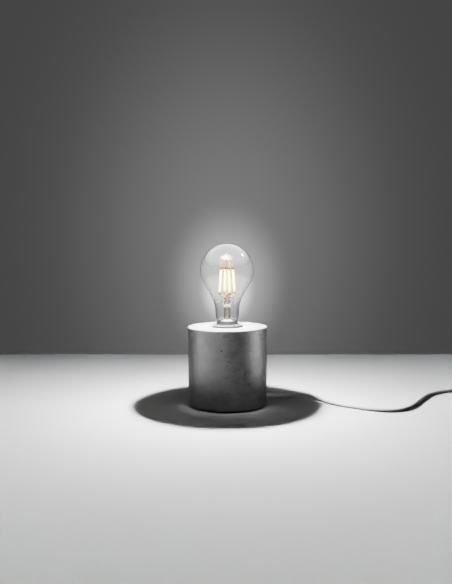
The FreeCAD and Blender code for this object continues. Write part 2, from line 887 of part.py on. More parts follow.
def make_wires():
    place = size("terminal_place").number
    radius = size("wire_radius").number
    start = sheath_end.number
    rise = size("wire_radius").number * 2
    block_base = (partition_base - size("strip_thickness") - size("terminal_height")).number
    for label, side in (("live_wire", 1), ("neutral_wire", -1)):
        near = side * (radius + size("thread_clearance").number)
        route = [
            FreeCAD.Vector(near, 0, start),
            FreeCAD.Vector(near, 0, start + rise),
            FreeCAD.Vector(side * place, 0, block_base - rise),
            FreeCAD.Vector(side * place, 0, wire_end.number),
        ]
        path, radii = cord_path(route)
        print(label, "bends", [round(r, 1) for r in radii])
        shape_feature(label, tube(path, radius))


make_inner_cord()
make_wires()


# Bulb
def glass_outline(inset):
    """The bulb's half outline in the XZ plane, from its neck to its top, drawn in by an inset.

    The neck is straight, the throat is a hollow arc, the belly a round one, joined to the throat
    by a straight line that touches both, and the crown is a part of a ball."""
    seat = glass_seat.number
    neck = size("neck_radius").number
    ball = size("glass_radius").number
    belly = size("belly_radius").number
    throat = size("throat_radius").number
    neck_top = seat + size("neck_height").number
    centre = seat + size("glass_centre_rise").number
    throat_centre = FreeCAD.Vector(neck + throat, 0, neck_top)
    belly_centre = FreeCAD.Vector(ball - belly, 0, centre)
    ball_centre = FreeCAD.Vector(0, 0, centre)
    between = belly_centre - throat_centre
    share = (throat + belly) / between.Length
    between.normalize()
    across = FreeCAD.Vector(between.z * -1, 0, between.x)
    if across.z > 0:
        across = across * -1
    normal = between * share + across * math.sqrt(1 - share ** 2)
    throat += inset
    belly -= inset
    ball -= inset
    low_touch = throat_centre + normal * throat
    high_touch = belly_centre - normal * belly
    start = FreeCAD.Vector(neck - inset, 0, neck_top)
    side = FreeCAD.Vector(belly_centre.x + belly, 0, centre)
    top = ball_centre + Z * ball
    flat = X * -1
    throat_middle = throat_centre + (normal + flat).normalize() * throat
    belly_middle = belly_centre + (normal * -1 + X).normalize() * belly
    crown_middle = ball_centre + (X + Z).normalize() * ball
    return [
        Part.Arc(start, throat_middle, low_touch).toShape(),
        Part.LineSegment(low_touch, high_touch).toShape(),
        Part.Arc(high_touch, belly_middle, side).toShape(),
        Part.Arc(side, crown_middle, top).toShape(),
    ], start, top


def make_glass():
    wall = size("glass_wall").number
    outer, outer_start, outer_top = glass_outline(0)
    inner, inner_start, inner_top = glass_outline(wall)
    seat = glass_seat.number
    shoulder = size("glass_shoulder_radius").number
    low_outer = FreeCAD.Vector(outer_start.x, 0, seat + wall)
    edge_outer = FreeCAD.Vector(outer_start.x - wall, 0, seat)
    rim_outer = FreeCAD.Vector(shoulder, 0, seat)
    rim_inner = FreeCAD.Vector(shoulder, 0, seat + wall)
    low_inner = FreeCAD.Vector(inner_start.x, 0, seat + wall)
    lines = [
        Part.LineSegment(rim_inner, rim_outer).toShape(),
        Part.LineSegment(rim_outer, edge_outer).toShape(),
        Part.LineSegment(edge_outer, low_outer).toShape(),
        Part.LineSegment(low_outer, outer_start).toShape(),
    ]
    closing = [
        Part.LineSegment(outer_top, inner_top).toShape(),
        Part.LineSegment(inner_start, low_inner).toShape(),
        Part.LineSegment(low_inner, rim_inner).toShape(),
    ]
    wire = Part.Wire(Part.__sortEdges__(lines + outer + inner + closing))
    shape_feature("bulb_glass", Part.Face(wire).revolve(FreeCAD.Vector(), Z, 360))


make_glass()


def make_stem():
    """The glass inside the neck: a flare, a tube, a flat press and the rod that carries the filaments."""
    wall = size("glass_wall").number
    seat = glass_seat.number + wall
    flare = size("stem_flare_radius").number
    radius = size("stem_tube_radius").number
    height = size("stem_height").number
    press = size("stem_press_height").number
    base = Part.makeCone(flare, radius, flare - radius, FreeCAD.Vector(0, 0, seat), Z)
    tube_part = Part.makeCylinder(radius, height, FreeCAD.Vector(0, 0, seat), Z)
    wide = size("stem_press_width").number
    thick = size("stem_press_thickness").number
    low = seat + height - radius
    press_part = Part.makeBox(wide, thick, press, FreeCAD.Vector(-wide / 2, -thick / 2, low))
    press_part = press_part.makeFillet(thick / 3, press_part.Edges)
    rod_length = size("stem_rod_height").number - height
    rod_start = FreeCAD.Vector(0, 0, seat + height)
    rod = Part.makeCylinder(size("stem_rod_radius").number, rod_length, rod_start, Z)
    shape = base.multiFuse([tube_part, press_part, rod]).removeSplitter()
    shape_feature("bulb_stem", shape)


make_stem()


def filament_ends(count):
    """The lower and upper end of one filament's lit length."""
    angle = math.radians(float(sheet.get("filament_turn")) + 90 * count)
    out = X * math.cos(angle) + Y * math.sin(angle)
    low_radius = size("filament_low_circle_radius").number
    high_radius = size("filament_high_circle_radius").number
    low = glass_seat.number + size("filament_low_height").number
    rise = math.sqrt(size("filament_length").number ** 2 - (low_radius - high_radius) ** 2)
    return out * low_radius + Z * low, out * high_radius + Z * (low + rise)


def make_filaments():
    cap = size("filament_cap_length").number
    for count in range(4):
        low, high = filament_ends(count)
        axis = high - low
        length = axis.Length
        axis.normalize()
        lit = Part.makeCylinder(size("filament_radius").number, length, low, axis)
        ends_radius = size("filament_cap_radius").number
        ends = Part.makeCylinder(ends_radius, length + cap * 2, low - axis * cap, axis)
        shape_feature(f"filament_{count + 1}", lit.fuse(ends))


make_filaments()


def bar(start, end, radius):
    axis = end - start
    return Part.makeCylinder(radius, axis.Length, start, axis)


def make_support_wires():
    """Two wires that arch over the rod and hold the filaments' upper ends, and four leads below."""
    radius = size("support_wire_radius").number
    cap = size("filament_cap_length").number
    base = glass_seat.number + size("glass_wall").number
    rod_top = base + size("stem_rod_height").number
    press_base = base + size("stem_height").number - size("stem_tube_radius").number
    press_top = press_base + size("stem_press_height").number
    inset = size("support_inset").number
    tips, feet = [], []
    for count in range(4):
        low, high = filament_ends(count)
        axis = (high - low).normalize()
        tips.append(high + axis * cap)
        feet.append(low - axis * cap)
    arches = []
    for count in (0, 1):
        gap = size("thread_clearance").number
        crest = rod_top + radius * (1 + count * 2) + gap * (1 + count)
        first, last = tips[count], tips[count + 2]
        route = [first]
        for tip in (first, last):
            out = FreeCAD.Vector(tip.x, tip.y, 0).normalize()
            route.append(out * (FreeCAD.Vector(tip.x, tip.y, 0).Length - inset) + Z * crest)
        route.append(last)
        arches.append(tube(cord_path(route)[0], radius))
    shape_feature("top_supports", Part.makeCompound(arches))
    leads = []
    press_side = size("stem_press_width").number / 3
    for foot in feet:
        side = press_side if foot.x > 0 else -press_side
        way = 1 if foot.y > 0 else -1
        start = FreeCAD.Vector(side, way * radius * 2, press_top)
        leads.append(bar(start, foot, radius))
    held = [item.Shape for item in NODES if item.Label == "bulb_stem" or item.Label.startswith("filament_")]
    shape_feature("lower_leads", Part.makeCompound([lead.cut(held) for lead in leads]))


make_support_wires()


def make_cap():
    """The screw cap: a thin shell with a flared skirt under the glass, closed below by the insulator."""
    radius = size("cap_radius")
    wall = size("cap_wall")
    skirt = size("cap_skirt_radius")
    top = glass_seat - size("plate_clearance") / 2
    step = glass_seat - size("cap_skirt_height")
    tip = size("insulator_tip_radius")
    low = cap_base
    node(turned("bulb_cap", [
        (radius - wall * 8, low),
        (radius, low + wall * 4),
        (radius, step),
        (skirt, step + wall * 4),
        (skirt, top),
        (skirt - wall, top),
        (skirt - wall, step + wall * 4),
        (radius - wall, step),
        (radius - wall, low + wall * 5),
        (radius - wall * 8, low + wall * 2),
    ]), "bulb_cap")
    seat = radius - wall * 8 - size("thread_clearance")
    node(turned("cap_insulator", [
        (tip, low - size("insulator_height")),
        (seat, low),
        (seat, low + wall),
        (ZERO, low + wall),
        (ZERO, low - size("insulator_height")),
    ]), "cap_insulator")
    node(turned("cap_contact", [
        (size("contact_radius") - size("contact_height"), contact_tip),
        (size("contact_radius"), contact_tip + size("contact_height")),
        (ZERO, contact_tip + size("contact_height")),
        (ZERO, contact_tip),
    ]), "cap_contact")
    height = size("driver_height")
    disc = cylinder("driver_disc", size("driver_radius"), size("driver_thickness"), z=low + height)
    can = cylinder("driver_can", size("driver_radius") / 3, height / 2, z=low + height / 2)
    node(fuse("driver", disc, can), "bulb_driver")


make_cap()


# Cord route from the lamp to the switch, chosen by hand
switch_axis_height = size("switch_height") / 2
switch_start = FreeCAD.Vector(
    size("switch_place_x").number, size("switch_place_y").number, switch_axis_height.number)
ROUTE_TO_SWITCH = [
    entry_face,
    FreeCAD.Vector(73.68, -10.355, 12.0),
    FreeCAD.Vector(95.6, 3.4, 12.0),
    FreeCAD.Vector(119.4, 1.6, 4.6),
    FreeCAD.Vector(139.4, -13.8, 2.5),
    FreeCAD.Vector(158.6, -30.4, 2.5),
    FreeCAD.Vector(181.0, -45.0, 2.5),
    FreeCAD.Vector(203.8, -48.8, 2.5),
    FreeCAD.Vector(224.4, -35.2, 2.5),
    FreeCAD.Vector(243.0, -1.6, 2.5),
    FreeCAD.Vector(262.6, 34.4, 2.5),
    FreeCAD.Vector(284.0, 52.8, 2.5),
    FreeCAD.Vector(303.4, 60.2, 3.0),
    FreeCAD.Vector(319.2, 62.0, 7.0),
    switch_start + X * size("switch_wall").number * 2,
]

coil_start_height = cord_radius.number + size("coil_lift").number
switch_exit = switch_start + X * size("switch_length").number
ROUTE_TO_COIL = [
    switch_exit - X * size("switch_wall").number * 2,
    FreeCAD.Vector(411.0, 62.0, 7.0),
    FreeCAD.Vector(433.0, 53.0, 4.4),
    FreeCAD.Vector(444.0, 34.0, coil_start_height),
    FreeCAD.Vector(444.0, 19.0, coil_start_height),
]


def make_free_cords():
    for label, route in (("cord_to_switch", ROUTE_TO_SWITCH), ("cord_to_coil", ROUTE_TO_COIL)):
        path, radii = cord_path(route)
        print(label, "length", round(path.Length, 1), "radii", [round(r, 1) for r in radii])
        shape_feature(label, tube(path, cord_radius.number))


make_free_cords()


# Coil: spirals in on the lower layer, climbs and spirals out on the upper one
def crossing(count):
    """The distance from the coil's middle at which the cord crosses its axis, from the inside out."""
    inner = size("coil_inner_radius").number
    if count == 0:
        return inner
    return inner + size("coil_reverse_step").number + count * size("coil_pitch").number / 2


def half_turn(centre, start_angle, radius):
    """A flat half turn, run clockwise seen from above."""
    points = []
    for share in (0, 0.5, 1):
        angle = start_angle - math.pi * share
        points.append(centre + (X * math.cos(angle) + Y * math.sin(angle)) * radius)
    return Part.Arc(*points).toShape(), points[-1]


def make_coil():
    route_end = ROUTE_TO_COIL[-1]
    lead = size("coil_lead_length").number
    entry = route_end - Y * lead
    middle = entry - X * crossing(INWARD_HALF_TURNS)
    edges = [Part.LineSegment(route_end, entry).toShape()]
    side = 1
    for count in range(INWARD_HALF_TURNS, 0, -1):
        radius = (crossing(count) + crossing(count - 1)) / 2
        centre = middle + X * side * (crossing(count) - radius)
        edge, place = half_turn(centre, 0 if side > 0 else math.pi, radius)
        edges.append(edge)
        side = -side
    climb = size("coil_pitch").number
    inner = crossing(0)
    reach = math.sqrt(inner ** 2 + climb ** 2 / 4)
    heading = Y * (-side)
    first = place
    last = middle - X * side * inner + Z * climb
    summit = (first + heading * reach + last + heading * reach) / 2
    rising = (first, first + heading * reach, summit)
    settling = (summit, last + heading * reach, last)
    for start, corner, end in (rising, settling):
        into = (corner - start).normalize()
        away = (end - corner).normalize()
        inward = (away - into).normalize()
        centre_gap = reach * math.sqrt(2) - reach
        edges.append(Part.Arc(start, corner + inward * centre_gap, end).toShape())
    side = -side
    middle = middle + Z * climb
    for count in range(1, OUTWARD_HALF_TURNS + 1):
        radius = (crossing(count) + crossing(count - 1)) / 2
        centre = middle + X * side * (crossing(count - 1) - radius)
        edge, place = half_turn(centre, 0 if side > 0 else math.pi, radius)
        edges.append(edge)
        side = -side
    tail_end = place - Y * size("coil_tail_length").number
    edges.append(Part.LineSegment(place, tail_end).toShape())
    path = Part.Wire(edges)
    print("coil length", round(path.Length, 1), "turns", (INWARD_HALF_TURNS + 1 + OUTWARD_HALF_TURNS) / 2)
    measure_gap(path)
    shape_feature("cord_coil", tube(path, cord_radius.number))
    return middle, tail_end


def measure_gap(path):
    """Prints the least gap of the coil's tube to itself, measured on points along it."""
    step = cord_radius.number * COIL_STEP_SHARE
    points = path.discretize(Number=int(path.Length / step))
    skip = int(math.pi * cord_radius.number * 2 / step) + 1
    least = min(
        (points[i] - points[j]).Length
        for i in range(len(points))
        for j in range(i + skip, len(points))
    )
    print("coil's least gap to itself", round(least - cord_radius.number * 2, 3))


coil_middle, plug_start = make_coil()


def make_tie():
    """A flat band round the bundle of turns, on the side away from the cord's entry."""
    gap = size("tie_clearance").number
    thickness = size("tie_thickness").number
    radius = cord_radius.number
    low_z = coil_start_height - radius - gap
    high_z = coil_middle.z + radius + gap
    width = size("tie_width").number
    bow = width ** 2 / crossing(0) / 8
    near = crossing(0) - bow - radius - gap
    far = crossing(INWARD_HALF_TURNS - 1) + radius + gap
    origin = FreeCAD.Vector(coil_middle.x, coil_middle.y, 0)

    def slab(grow):
        low = FreeCAD.Vector(origin.x - far - grow, origin.y - width / 2, low_z - grow)
        solid = Part.makeBox(far - near + grow * 2, width, high_z - low_z + grow * 2, low)
        corners = [e for e in solid.Edges if abs(e.tangentAt(e.FirstParameter).y) > 0.5]
        return solid.makeFillet(radius + grow, corners)

    shape_feature("cord_tie", slab(thickness).cut(slab(0)))


make_tie()


# Switch
def switch_outline(inset):
    """The switch's outline seen from above: a middle block with two tapered ends."""
    half = size("switch_length") / 2 - inset
    shoulder = size("switch_length") / 2 - size("switch_end_length")
    wide = size("switch_width") / 2 - inset
    narrow = size("switch_end_width") / 2 - inset
    middle_x = size("switch_place_x") + size("switch_length") / 2
    middle_y = size("switch_place_y")
    corners = [(-half, -narrow), (-shoulder, -wide), (shoulder, -wide), (half, -narrow),
               (half, narrow), (shoulder, wide), (-shoulder, wide), (-half, narrow)]
    return [(middle_x + a, middle_y + b) for a, b in corners]


def level_edges(feature, height):
    """The names of the edges that lie at one height."""
    found = []
    for i, edge in enumerate(feature.Shape.Edges, start=1):
        if all(abs(v.Point.z - height) < NEAR for v in edge.Vertexes):
            found.append(f"Edge{i}")
    return found


def shell_half(name, low, height, wall_low, wall_height, outer_level):
    outside = padded(f"{name}_outside", "XY_Plane", switch_outline(ZERO), height)
    edges = level_edges(outside.Tip, outer_level)
    dress(outside, "Fillet", f"{name}_edge", edges, size("switch_edge_fillet"))
    put(outside, z=low)
    inside = padded(f"{name}_inside", "XY_Plane", switch_outline(size("switch_wall")), wall_height)
    put(inside, z=wall_low)
    return outside, inside


def make_switch():
    middle_x = size("switch_place_x") + size("switch_length") / 2
    middle_y = size("switch_place_y")
    height = size("switch_height")
    half = height / 2
    wall = size("switch_wall")
    split = size("switch_split")
    gap = size("pivot_clearance")
    cord_hole = cylinder("switch_cord_hole", cord_radius + gap, size("switch_length") + overrun * 2,
                         size("switch_place_x") - overrun, middle_y, half, FreeCAD.Rotation(Z, X))
    low_out, low_in = shell_half("switch_low", ZERO, half - split / 2, wall, half, 0)
    high_out, high_in = shell_half(
        "switch_high", half + split / 2, half - split / 2, half - overrun, half - wall + overrun,
        (half - split / 2).number)
    screws, low_tools, high_tools = [], [], []
    for count, way in enumerate((1, -1), start=1):
        x = middle_x + size("switch_screw_place") * way
        y = middle_y + size("switch_end_width") / 2 * way
        radius = size("switch_screw_radius")
        post = radius + wall / 2
        low_tools.append(cylinder(f"switch_post_{count}", post, half - split / 2 - wall, x, y, wall))
        low_tools.append(cylinder(f"switch_post_bore_{count}", radius, half * 2, x, y, -overrun))
        screws.append(cylinder(f"switch_screw_{count}", radius - gap, half, x, y, wall / 2))
    posts = low_tools[::2]
    bores = low_tools[1::2]
    shell = cut("switch_low_shell", low_out, low_in, cord_hole)
    lower = cut("switch_lower", fuse("switch_lower_posts", shell, *posts), *bores)
    node(lower, "switch_lower")
    node(group("switch_screws", *screws), "switch_screws")
    opening_length = size("rocker_length") + size("rocker_clearance") * 2
    opening_width = size("rocker_width") + size("rocker_clearance") * 2
    opening = box("rocker_opening", opening_length, opening_width, wall + overrun * 2, middle_x, middle_y,
                  height - wall - overrun)
    pivot_height = height - size("pivot_drop")
    pivot_length = opening_width + wall * 2
    across = FreeCAD.Rotation(Z, Y)
    pin_hole = cylinder("pivot_hole", size("pivot_radius") + gap, pivot_length, middle_x,
                        middle_y - pivot_length / 2, pivot_height, across)
    ear_height = size("pivot_drop") + size("pivot_radius") + wall
    ears = []
    for count, way in enumerate((1, -1), start=1):
        y = middle_y + (opening_width / 2 + wall / 2) * way
        ears.append(box(f"rocker_ear_{count}", wall * 4, wall, ear_height, middle_x, y, height - ear_height))
    high_shell = cut("switch_high_shell", high_out, high_in, cord_hole, opening)
    upper = cut("switch_upper", fuse("switch_upper_ears", high_shell, *ears), pin_hole)
    node(upper, "switch_upper")
    pin_start = middle_y - pivot_length / 2
    pin = cylinder("pivot_pin", size("pivot_radius"), pivot_length, middle_x, pin_start, pivot_height, across)
    node(pin, "switch_pivot")
    make_rocker(middle_x, middle_y, pivot_height)
    bars = []
    for count, way in enumerate((1, -1), start=1):
        x = middle_x + size("rocker_length") / 3 * way
        bars.append(box(f"contact_bar_{count}", size("contact_bar_length"), size("contact_bar_width"),
                        size("contact_bar_height"), x, middle_y, wall))
    node(group("switch_contacts", *bars), "switch_contacts")


def make_rocker(middle_x, middle_y, pivot_height):
    """A rocker with a shallow V on top, tipped to one side at rest."""
    half = size("rocker_length") / 2
    top = size("switch_height") + size("rocker_rise")
    dip = size("switch_height") + size("rocker_rise") * ROCKER_DIP_SHARE
    low = size("switch_height") - size("rocker_depth")
    body = doc.addObject("PartDesign::Body", "rocker_body")
    sketch = outline(body, "rocker_outline", "XZ_Plane", [
        (-half, low - pivot_height + size("rocker_depth") / 2),
        (-half / 2, low - pivot_height),
        (half / 2, low - pivot_height),
        (half, low - pivot_height + size("rocker_depth") / 2),
        (half, top - pivot_height),
        (ZERO, dip - pivot_height),
        (-half, top - pivot_height),
    ])
    pad = body.newObject("PartDesign::Pad", "rocker_pad")
    pad.Profile = sketch
    pad.Midplane = True
    pad.setExpression("Length", size("rocker_width").text)
    doc.recompute()
    turn = FreeCAD.Rotation(Y, float(sheet.get("rocker_tilt_turn")))
    put(body, middle_x, middle_y, pivot_height, turn)
    radius = size("pivot_radius") + size("pivot_clearance")
    length = size("rocker_width") + overrun * 2
    start = middle_y - length / 2
    across = FreeCAD.Rotation(Z, Y)
    bore = cylinder("rocker_bore", radius, length, middle_x, start, pivot_height, across)
    node(cut("rocker", body, bore), "switch_rocker")


make_switch()


# Plug: a flat body with two round pins and a tapered relief, lying in line with the coil's tail
def plug_frame():
    """Where the relief meets the plug's body, and the direction the plug points in."""
    away = Y * -1
    middle = plug_start + away * size("plug_relief_length").number
    middle.z = size("plug_height").number / 2
    return middle, away


def make_plug():
    start, away = plug_frame()
    tail = Part.Wire(Part.Circle(plug_start, away, size("plug_relief_tail_radius").number).toShape())
    head = Part.Wire(Part.Circle(start, away, size("plug_relief_radius").number).toShape())
    shape_feature("plug_relief", Part.makeLoft([tail, head], True, True))
    length = size("plug_length").number
    wide = size("plug_width").number / 2
    narrow = size("plug_end_width").number / 2
    low = FreeCAD.Vector(start.x, start.y, 0)
    side = [low + away * length * a + X * (narrow + (wide - narrow) * b) for a, b in PLUG_SIDE_SHARES]
    other = [low + away * length * a - X * (narrow + (wide - narrow) * b) for a, b in PLUG_SIDE_SHARES]
    corners = side + other[::-1]
    solid = Part.Face(Part.makePolygon(corners + corners[:1])).extrude(Z * size("plug_height").number)
    edges = [e for e in solid.Edges if abs(e.tangentAt(e.FirstParameter).z) < NEAR]
    shape_feature("plug_body", solid.makeFillet(size("plug_edge_fillet").number, edges))
    make_pins(start + away * length, away)


def make_pins(face, away):
    pins = []
    sleeved = size("pin_sleeve_length").number
    for side in (1, -1):
        root = face + X * side * size("pin_spacing").number / 2
        sleeve = Part.makeCylinder(size("pin_sleeve_radius").number, sleeved, root, away)
        tip = root + away * sleeved
        reach = size("pin_length").number - sleeved
        metal = Part.makeCylinder(size("pin_radius").number, reach, tip, away)
        end = tip + away * reach
        rounded = [e for e in metal.Edges if (e.CenterOfMass - end).Length < NEAR]
        pins.append(sleeve.fuse(metal.makeFillet(size("pin_radius").number / 2, rounded)))
    shape_feature("plug_pins", Part.makeCompound(pins))


make_plug()


# Checks of every object, then one file for each piece
doc.recompute()
broken = [o.Label for o in doc.Objects if {"Invalid", "Error"} & set(o.State)]
for item in NODES:
    if item.Shape.isNull() or not item.Shape.isValid():
        broken.append(f"{item.Label} has no valid shape")
if broken:
    raise RuntimeError("not built: " + ", ".join(broken))
os.makedirs("parts", exist_ok=True)
for item in NODES:
    item.Shape.exportStep(f"parts/{item.Label}.step")
print(len(NODES), "pieces written")
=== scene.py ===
# %% [markdown]
# A concrete desk lamp
#
# The lamp is a block of cast concrete with a porcelain lampholder sunk in its top, a clear bulb
# with four glowing rods inside, and a thin pale cord. Its sizes and its moving parts come from a
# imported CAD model, which is loaded first as a fixed frame. Everything below is modelled round
# that frame, in metres, so a piece can be placed from the box of the part it dresses.

# %% The frame and its box
import json
import math
import random

import bmesh
import bpy
from mathutils import Matrix, Vector, noise


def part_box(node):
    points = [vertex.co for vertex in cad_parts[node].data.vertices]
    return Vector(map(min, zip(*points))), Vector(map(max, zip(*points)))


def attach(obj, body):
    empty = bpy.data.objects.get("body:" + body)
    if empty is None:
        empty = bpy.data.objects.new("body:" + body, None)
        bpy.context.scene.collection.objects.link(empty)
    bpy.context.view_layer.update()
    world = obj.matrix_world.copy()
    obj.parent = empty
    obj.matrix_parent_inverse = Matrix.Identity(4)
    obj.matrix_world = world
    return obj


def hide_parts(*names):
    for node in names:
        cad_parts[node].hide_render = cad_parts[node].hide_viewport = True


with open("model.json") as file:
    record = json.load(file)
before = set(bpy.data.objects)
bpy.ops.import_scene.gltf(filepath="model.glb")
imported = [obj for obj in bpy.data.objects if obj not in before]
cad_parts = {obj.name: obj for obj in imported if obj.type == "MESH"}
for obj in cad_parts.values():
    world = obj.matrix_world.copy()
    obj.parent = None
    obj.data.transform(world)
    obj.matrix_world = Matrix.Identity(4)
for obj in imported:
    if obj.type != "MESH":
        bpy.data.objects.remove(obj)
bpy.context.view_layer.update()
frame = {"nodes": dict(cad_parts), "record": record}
nodes = frame["nodes"]
scene = bpy.context.scene
MM = 0.001

# %% [markdown]
# The camera
#
# A product photograph is matched in three steps: the lens decides how strongly the lamp's upper
# and lower rims differ in roundness, the height and pitch place them, and a slight roll levels
# them. These values were found by comparing the rims of the block with the picture, which is
# 452 by 584 pixels, so the sensor's width runs along the taller side.

# %% The camera
LENS = 44.86
SENSOR = 36.0
CAMERA_PLACE = Vector((-0.00138, -0.9155, 0.21871))
CAMERA_PITCH = math.radians(4.683)
CAMERA_ROLL = math.radians(-0.3)


def make_camera():
    data = bpy.data.cameras.new("camera")
    data.lens = LENS
    data.sensor_width = SENSOR
    camera = bpy.data.objects.new("camera", data)
    pitch = Matrix.Rotation(math.pi / 2 - CAMERA_PITCH, 4, "X")
    roll = Matrix.Rotation(CAMERA_ROLL, 4, "Z")
    camera.matrix_world = Matrix.Translation(CAMERA_PLACE) @ pitch @ roll
    scene.collection.objects.link(camera)
    scene.camera = camera


make_camera()
print("camera at", tuple(CAMERA_PLACE))

# %% [markdown]
# Finishes
#
# Every finish is a Principled shader fed by textures that read the piece's own coordinates, in
# metres. A few short helpers keep the trees readable: one adds a node and feeds it, one makes a
# colour ramp, one mixes two colours and one turns a height into a bump. A finish that only has a
# flat colour looks like a toy, so each has at least a slow change of tone, a fine grain in its
# roughness and a bump at the size that the real material has.

# %% Helpers for nodes and colours
# Where a colour mix node keeps its sockets
MIX_SHARE, MIX_UNDER, MIX_OVER, MIX_RESULT = 0, 6, 7, 2


def add(tree, kind, feeds=None, **settings):
    """Adds a node, sets its properties and feeds its inputs from sockets or plain values."""
    node = tree.nodes.new(kind)
    for name, value in settings.items():
        setattr(node, name, value)
    for key, source in (feeds or {}).items():
        if isinstance(source, bpy.types.NodeSocket):
            tree.links.new(source, node.inputs[key])
        else:
            node.inputs[key].default_value = source
    return node


def tone(colour):
    """A colour with its alpha, from one grey or three shares. A socket is passed on as it is."""
    if isinstance(colour, bpy.types.NodeSocket):
        return colour
    return (colour, colour, colour, 1.0) if isinstance(colour, float) else (*colour, 1.0)


def ramp(tree, source, *stops):
    """A colour ramp over a texture, from pairs of place and colour."""
    node = add(tree, "ShaderNodeValToRGB", {"Fac": source})
    elements = node.color_ramp.elements
    while len(elements) < len(stops):
        elements.new(0.5)
    for element, (place, colour) in zip(elements, stops):
        element.position = place
        element.color = tone(colour)
    return node.outputs["Color"]


def mixed(tree, share, under, over):
    """One colour laid over another by a share."""
    feeds = {MIX_SHARE: share, MIX_UNDER: tone(under), MIX_OVER: tone(over)}
    return add(tree, "ShaderNodeMix", feeds, data_type="RGBA").outputs[MIX_RESULT]


def maths(tree, operation, first, second):
    return add(tree, "ShaderNodeMath", {0: first, 1: second}, operation=operation).outputs[0]


def stretched(tree, place, scale):
    """Coordinates scaled on each axis, so that a texture is drawn out along one of them."""
    return add(tree, "ShaderNodeMapping", {"Vector": place, "Scale": scale}).outputs["Vector"]


print("helpers for nodes and colours are ready")


# %% Helpers for textures and shaders
def bumped(tree, height, distance, under=None):
    """A normal from a height texture, laid over another bump where there is one."""
    feeds = {"Height": height, "Distance": distance, "Strength": 1.0}
    if under is not None:
        feeds["Normal"] = under
    return add(tree, "ShaderNodeBump", feeds).outputs["Normal"]


def cloud(tree, place, scale, detail=4.0, roughness=0.55, distortion=0.0):
    feeds = {"Vector": place, "Scale": scale, "Detail": detail, "Roughness": roughness,
             "Distortion": distortion}
    return add(tree, "ShaderNodeTexNoise", feeds).outputs["Fac"]


def spread(tree, source, low, high, out_low=0.0, out_high=1.0, easing="LINEAR"):
    """Stretches a band of values over another one."""
    feeds = {"Value": source, "From Min": low, "From Max": high, "To Min": out_low,
             "To Max": out_high}
    return add(tree, "ShaderNodeMapRange", feeds, interpolation_type=easing).outputs["Result"]


def height_of(tree, place):
    return add(tree, "ShaderNodeSeparateXYZ", {"Vector": place}).outputs["Z"]


def blank_finish(name):
    """A new material, its tree, its shader and the piece's own coordinates."""
    material = bpy.data.materials.new(name)
    material.use_nodes = True
    tree = material.node_tree
    shader = tree.nodes["Principled BSDF"]
    place = add(tree, "ShaderNodeTexCoord").outputs["Object"]
    return material, tree, shader, place


def feed(tree, shader, **sources):
    """Links or sets the shader's inputs, named with underscores for spaces."""
    for name, source in sources.items():
        socket = shader.inputs[name.replace("_", " ")]
        if isinstance(source, bpy.types.NodeSocket):
            tree.links.new(source, socket)
        else:
            socket.default_value = tone(source) if socket.type == "RGBA" else source


print("helpers for textures and shaders are ready")

# %% [markdown]
# The cast concrete
#
# Fair-faced concrete is cement grey with slow clouds where the mix settled against the mould, a
# sandy grain, marks of the mould's oil, and small round pores left by air. The foot of the block
# is painted darker, as painted shade that fades upwards. A single noise would look like smoke, so
# four are laid over each other, each at its own size. The pores are the cores of Voronoi cells: a
# cell's random colour decides whether it has a pore at all, so they stay sparse and differ in
# size. Grain and pores also go into the bump, and the pores are coloured dark as painted shade.

# %% The concrete's greys and masks
# Greys along the values of each noise, from its dark parts to its light ones
PATCH_GREYS = ((0.30, 0.080), (0.50, 0.165), (0.70, 0.280))
STREAK_GREYS = ((0.30, 0.105), (0.70, 0.235))
MOTTLE_GREYS = ((0.32, 0.075), (0.50, 0.170), (0.70, 0.270))
SAND_GREYS = ((0.30, 0.060), (0.70, 0.320))
STREAK_SHARE, MOTTLE_SHARE, SAND_SHARE = 0.30, 0.50, 0.16
# The marks' grey is the mould's oil; the other three greys on the next line are painted shade: at
# the block's foot, in the pores and in the pinholes
MARK_GREY, FOOT_SHADE_GREY, PORE_SHADE_GREY, PINHOLE_SHADE_GREY = 0.055, 0.02, 0.03, 0.05
# Heights between which the painted shade at the foot fades out, and how far its edge wavers, in
# metres
FOOT_SHADE_LOW = 0.008
FOOT_SHADE_HIGH = 0.040
FOOT_SHADE_WAVER = 0.006
FOOT_SHADE_SHARE = 0.80
PINHOLE_SHADE_SHARE = 0.55


def pores(tree, place, scale, kept, radius):
    """A mask that is 1 in small round pores, in the share of the cells that is kept."""
    cells = add(tree, "ShaderNodeTexVoronoi", {"Vector": place, "Scale": scale})
    colour = add(tree, "ShaderNodeSeparateColor", {"Color": cells.outputs["Color"]})
    chosen = spread(tree, colour.outputs["Red"], 1.0 - kept, 1.0)
    edge = maths(tree, "MULTIPLY", chosen, radius)
    depth = maths(tree, "SUBTRACT", edge, cells.outputs["Distance"])
    return spread(tree, depth, 0.0, radius * 0.25)


def mould_marks(tree, place):
    """Short dark marks that lie level, left by the mould's oil."""
    oil = cloud(tree, stretched(tree, place, (70.0, 70.0, 190.0)), 1.0, roughness=0.6)
    return spread(tree, oil, 0.55, 0.72, 0.0, 0.65)


def painted_foot_shade(tree, place, patches):
    """A mask of painted shade that is strong at the foot and fades upwards along a wavering line.
    """
    waver = spread(tree, patches, 0.3, 0.7, -FOOT_SHADE_WAVER, FOOT_SHADE_WAVER)
    rise = maths(tree, "ADD", height_of(tree, place), waver)
    return spread(tree, rise, FOOT_SHADE_LOW, FOOT_SHADE_HIGH, FOOT_SHADE_SHARE, 0.0, "SMOOTHSTEP")


# Prints the height where the painted shade at the block's foot fades out
print("the damp foot fades out at", round(FOOT_SHADE_HIGH / MM, 1), "mm")


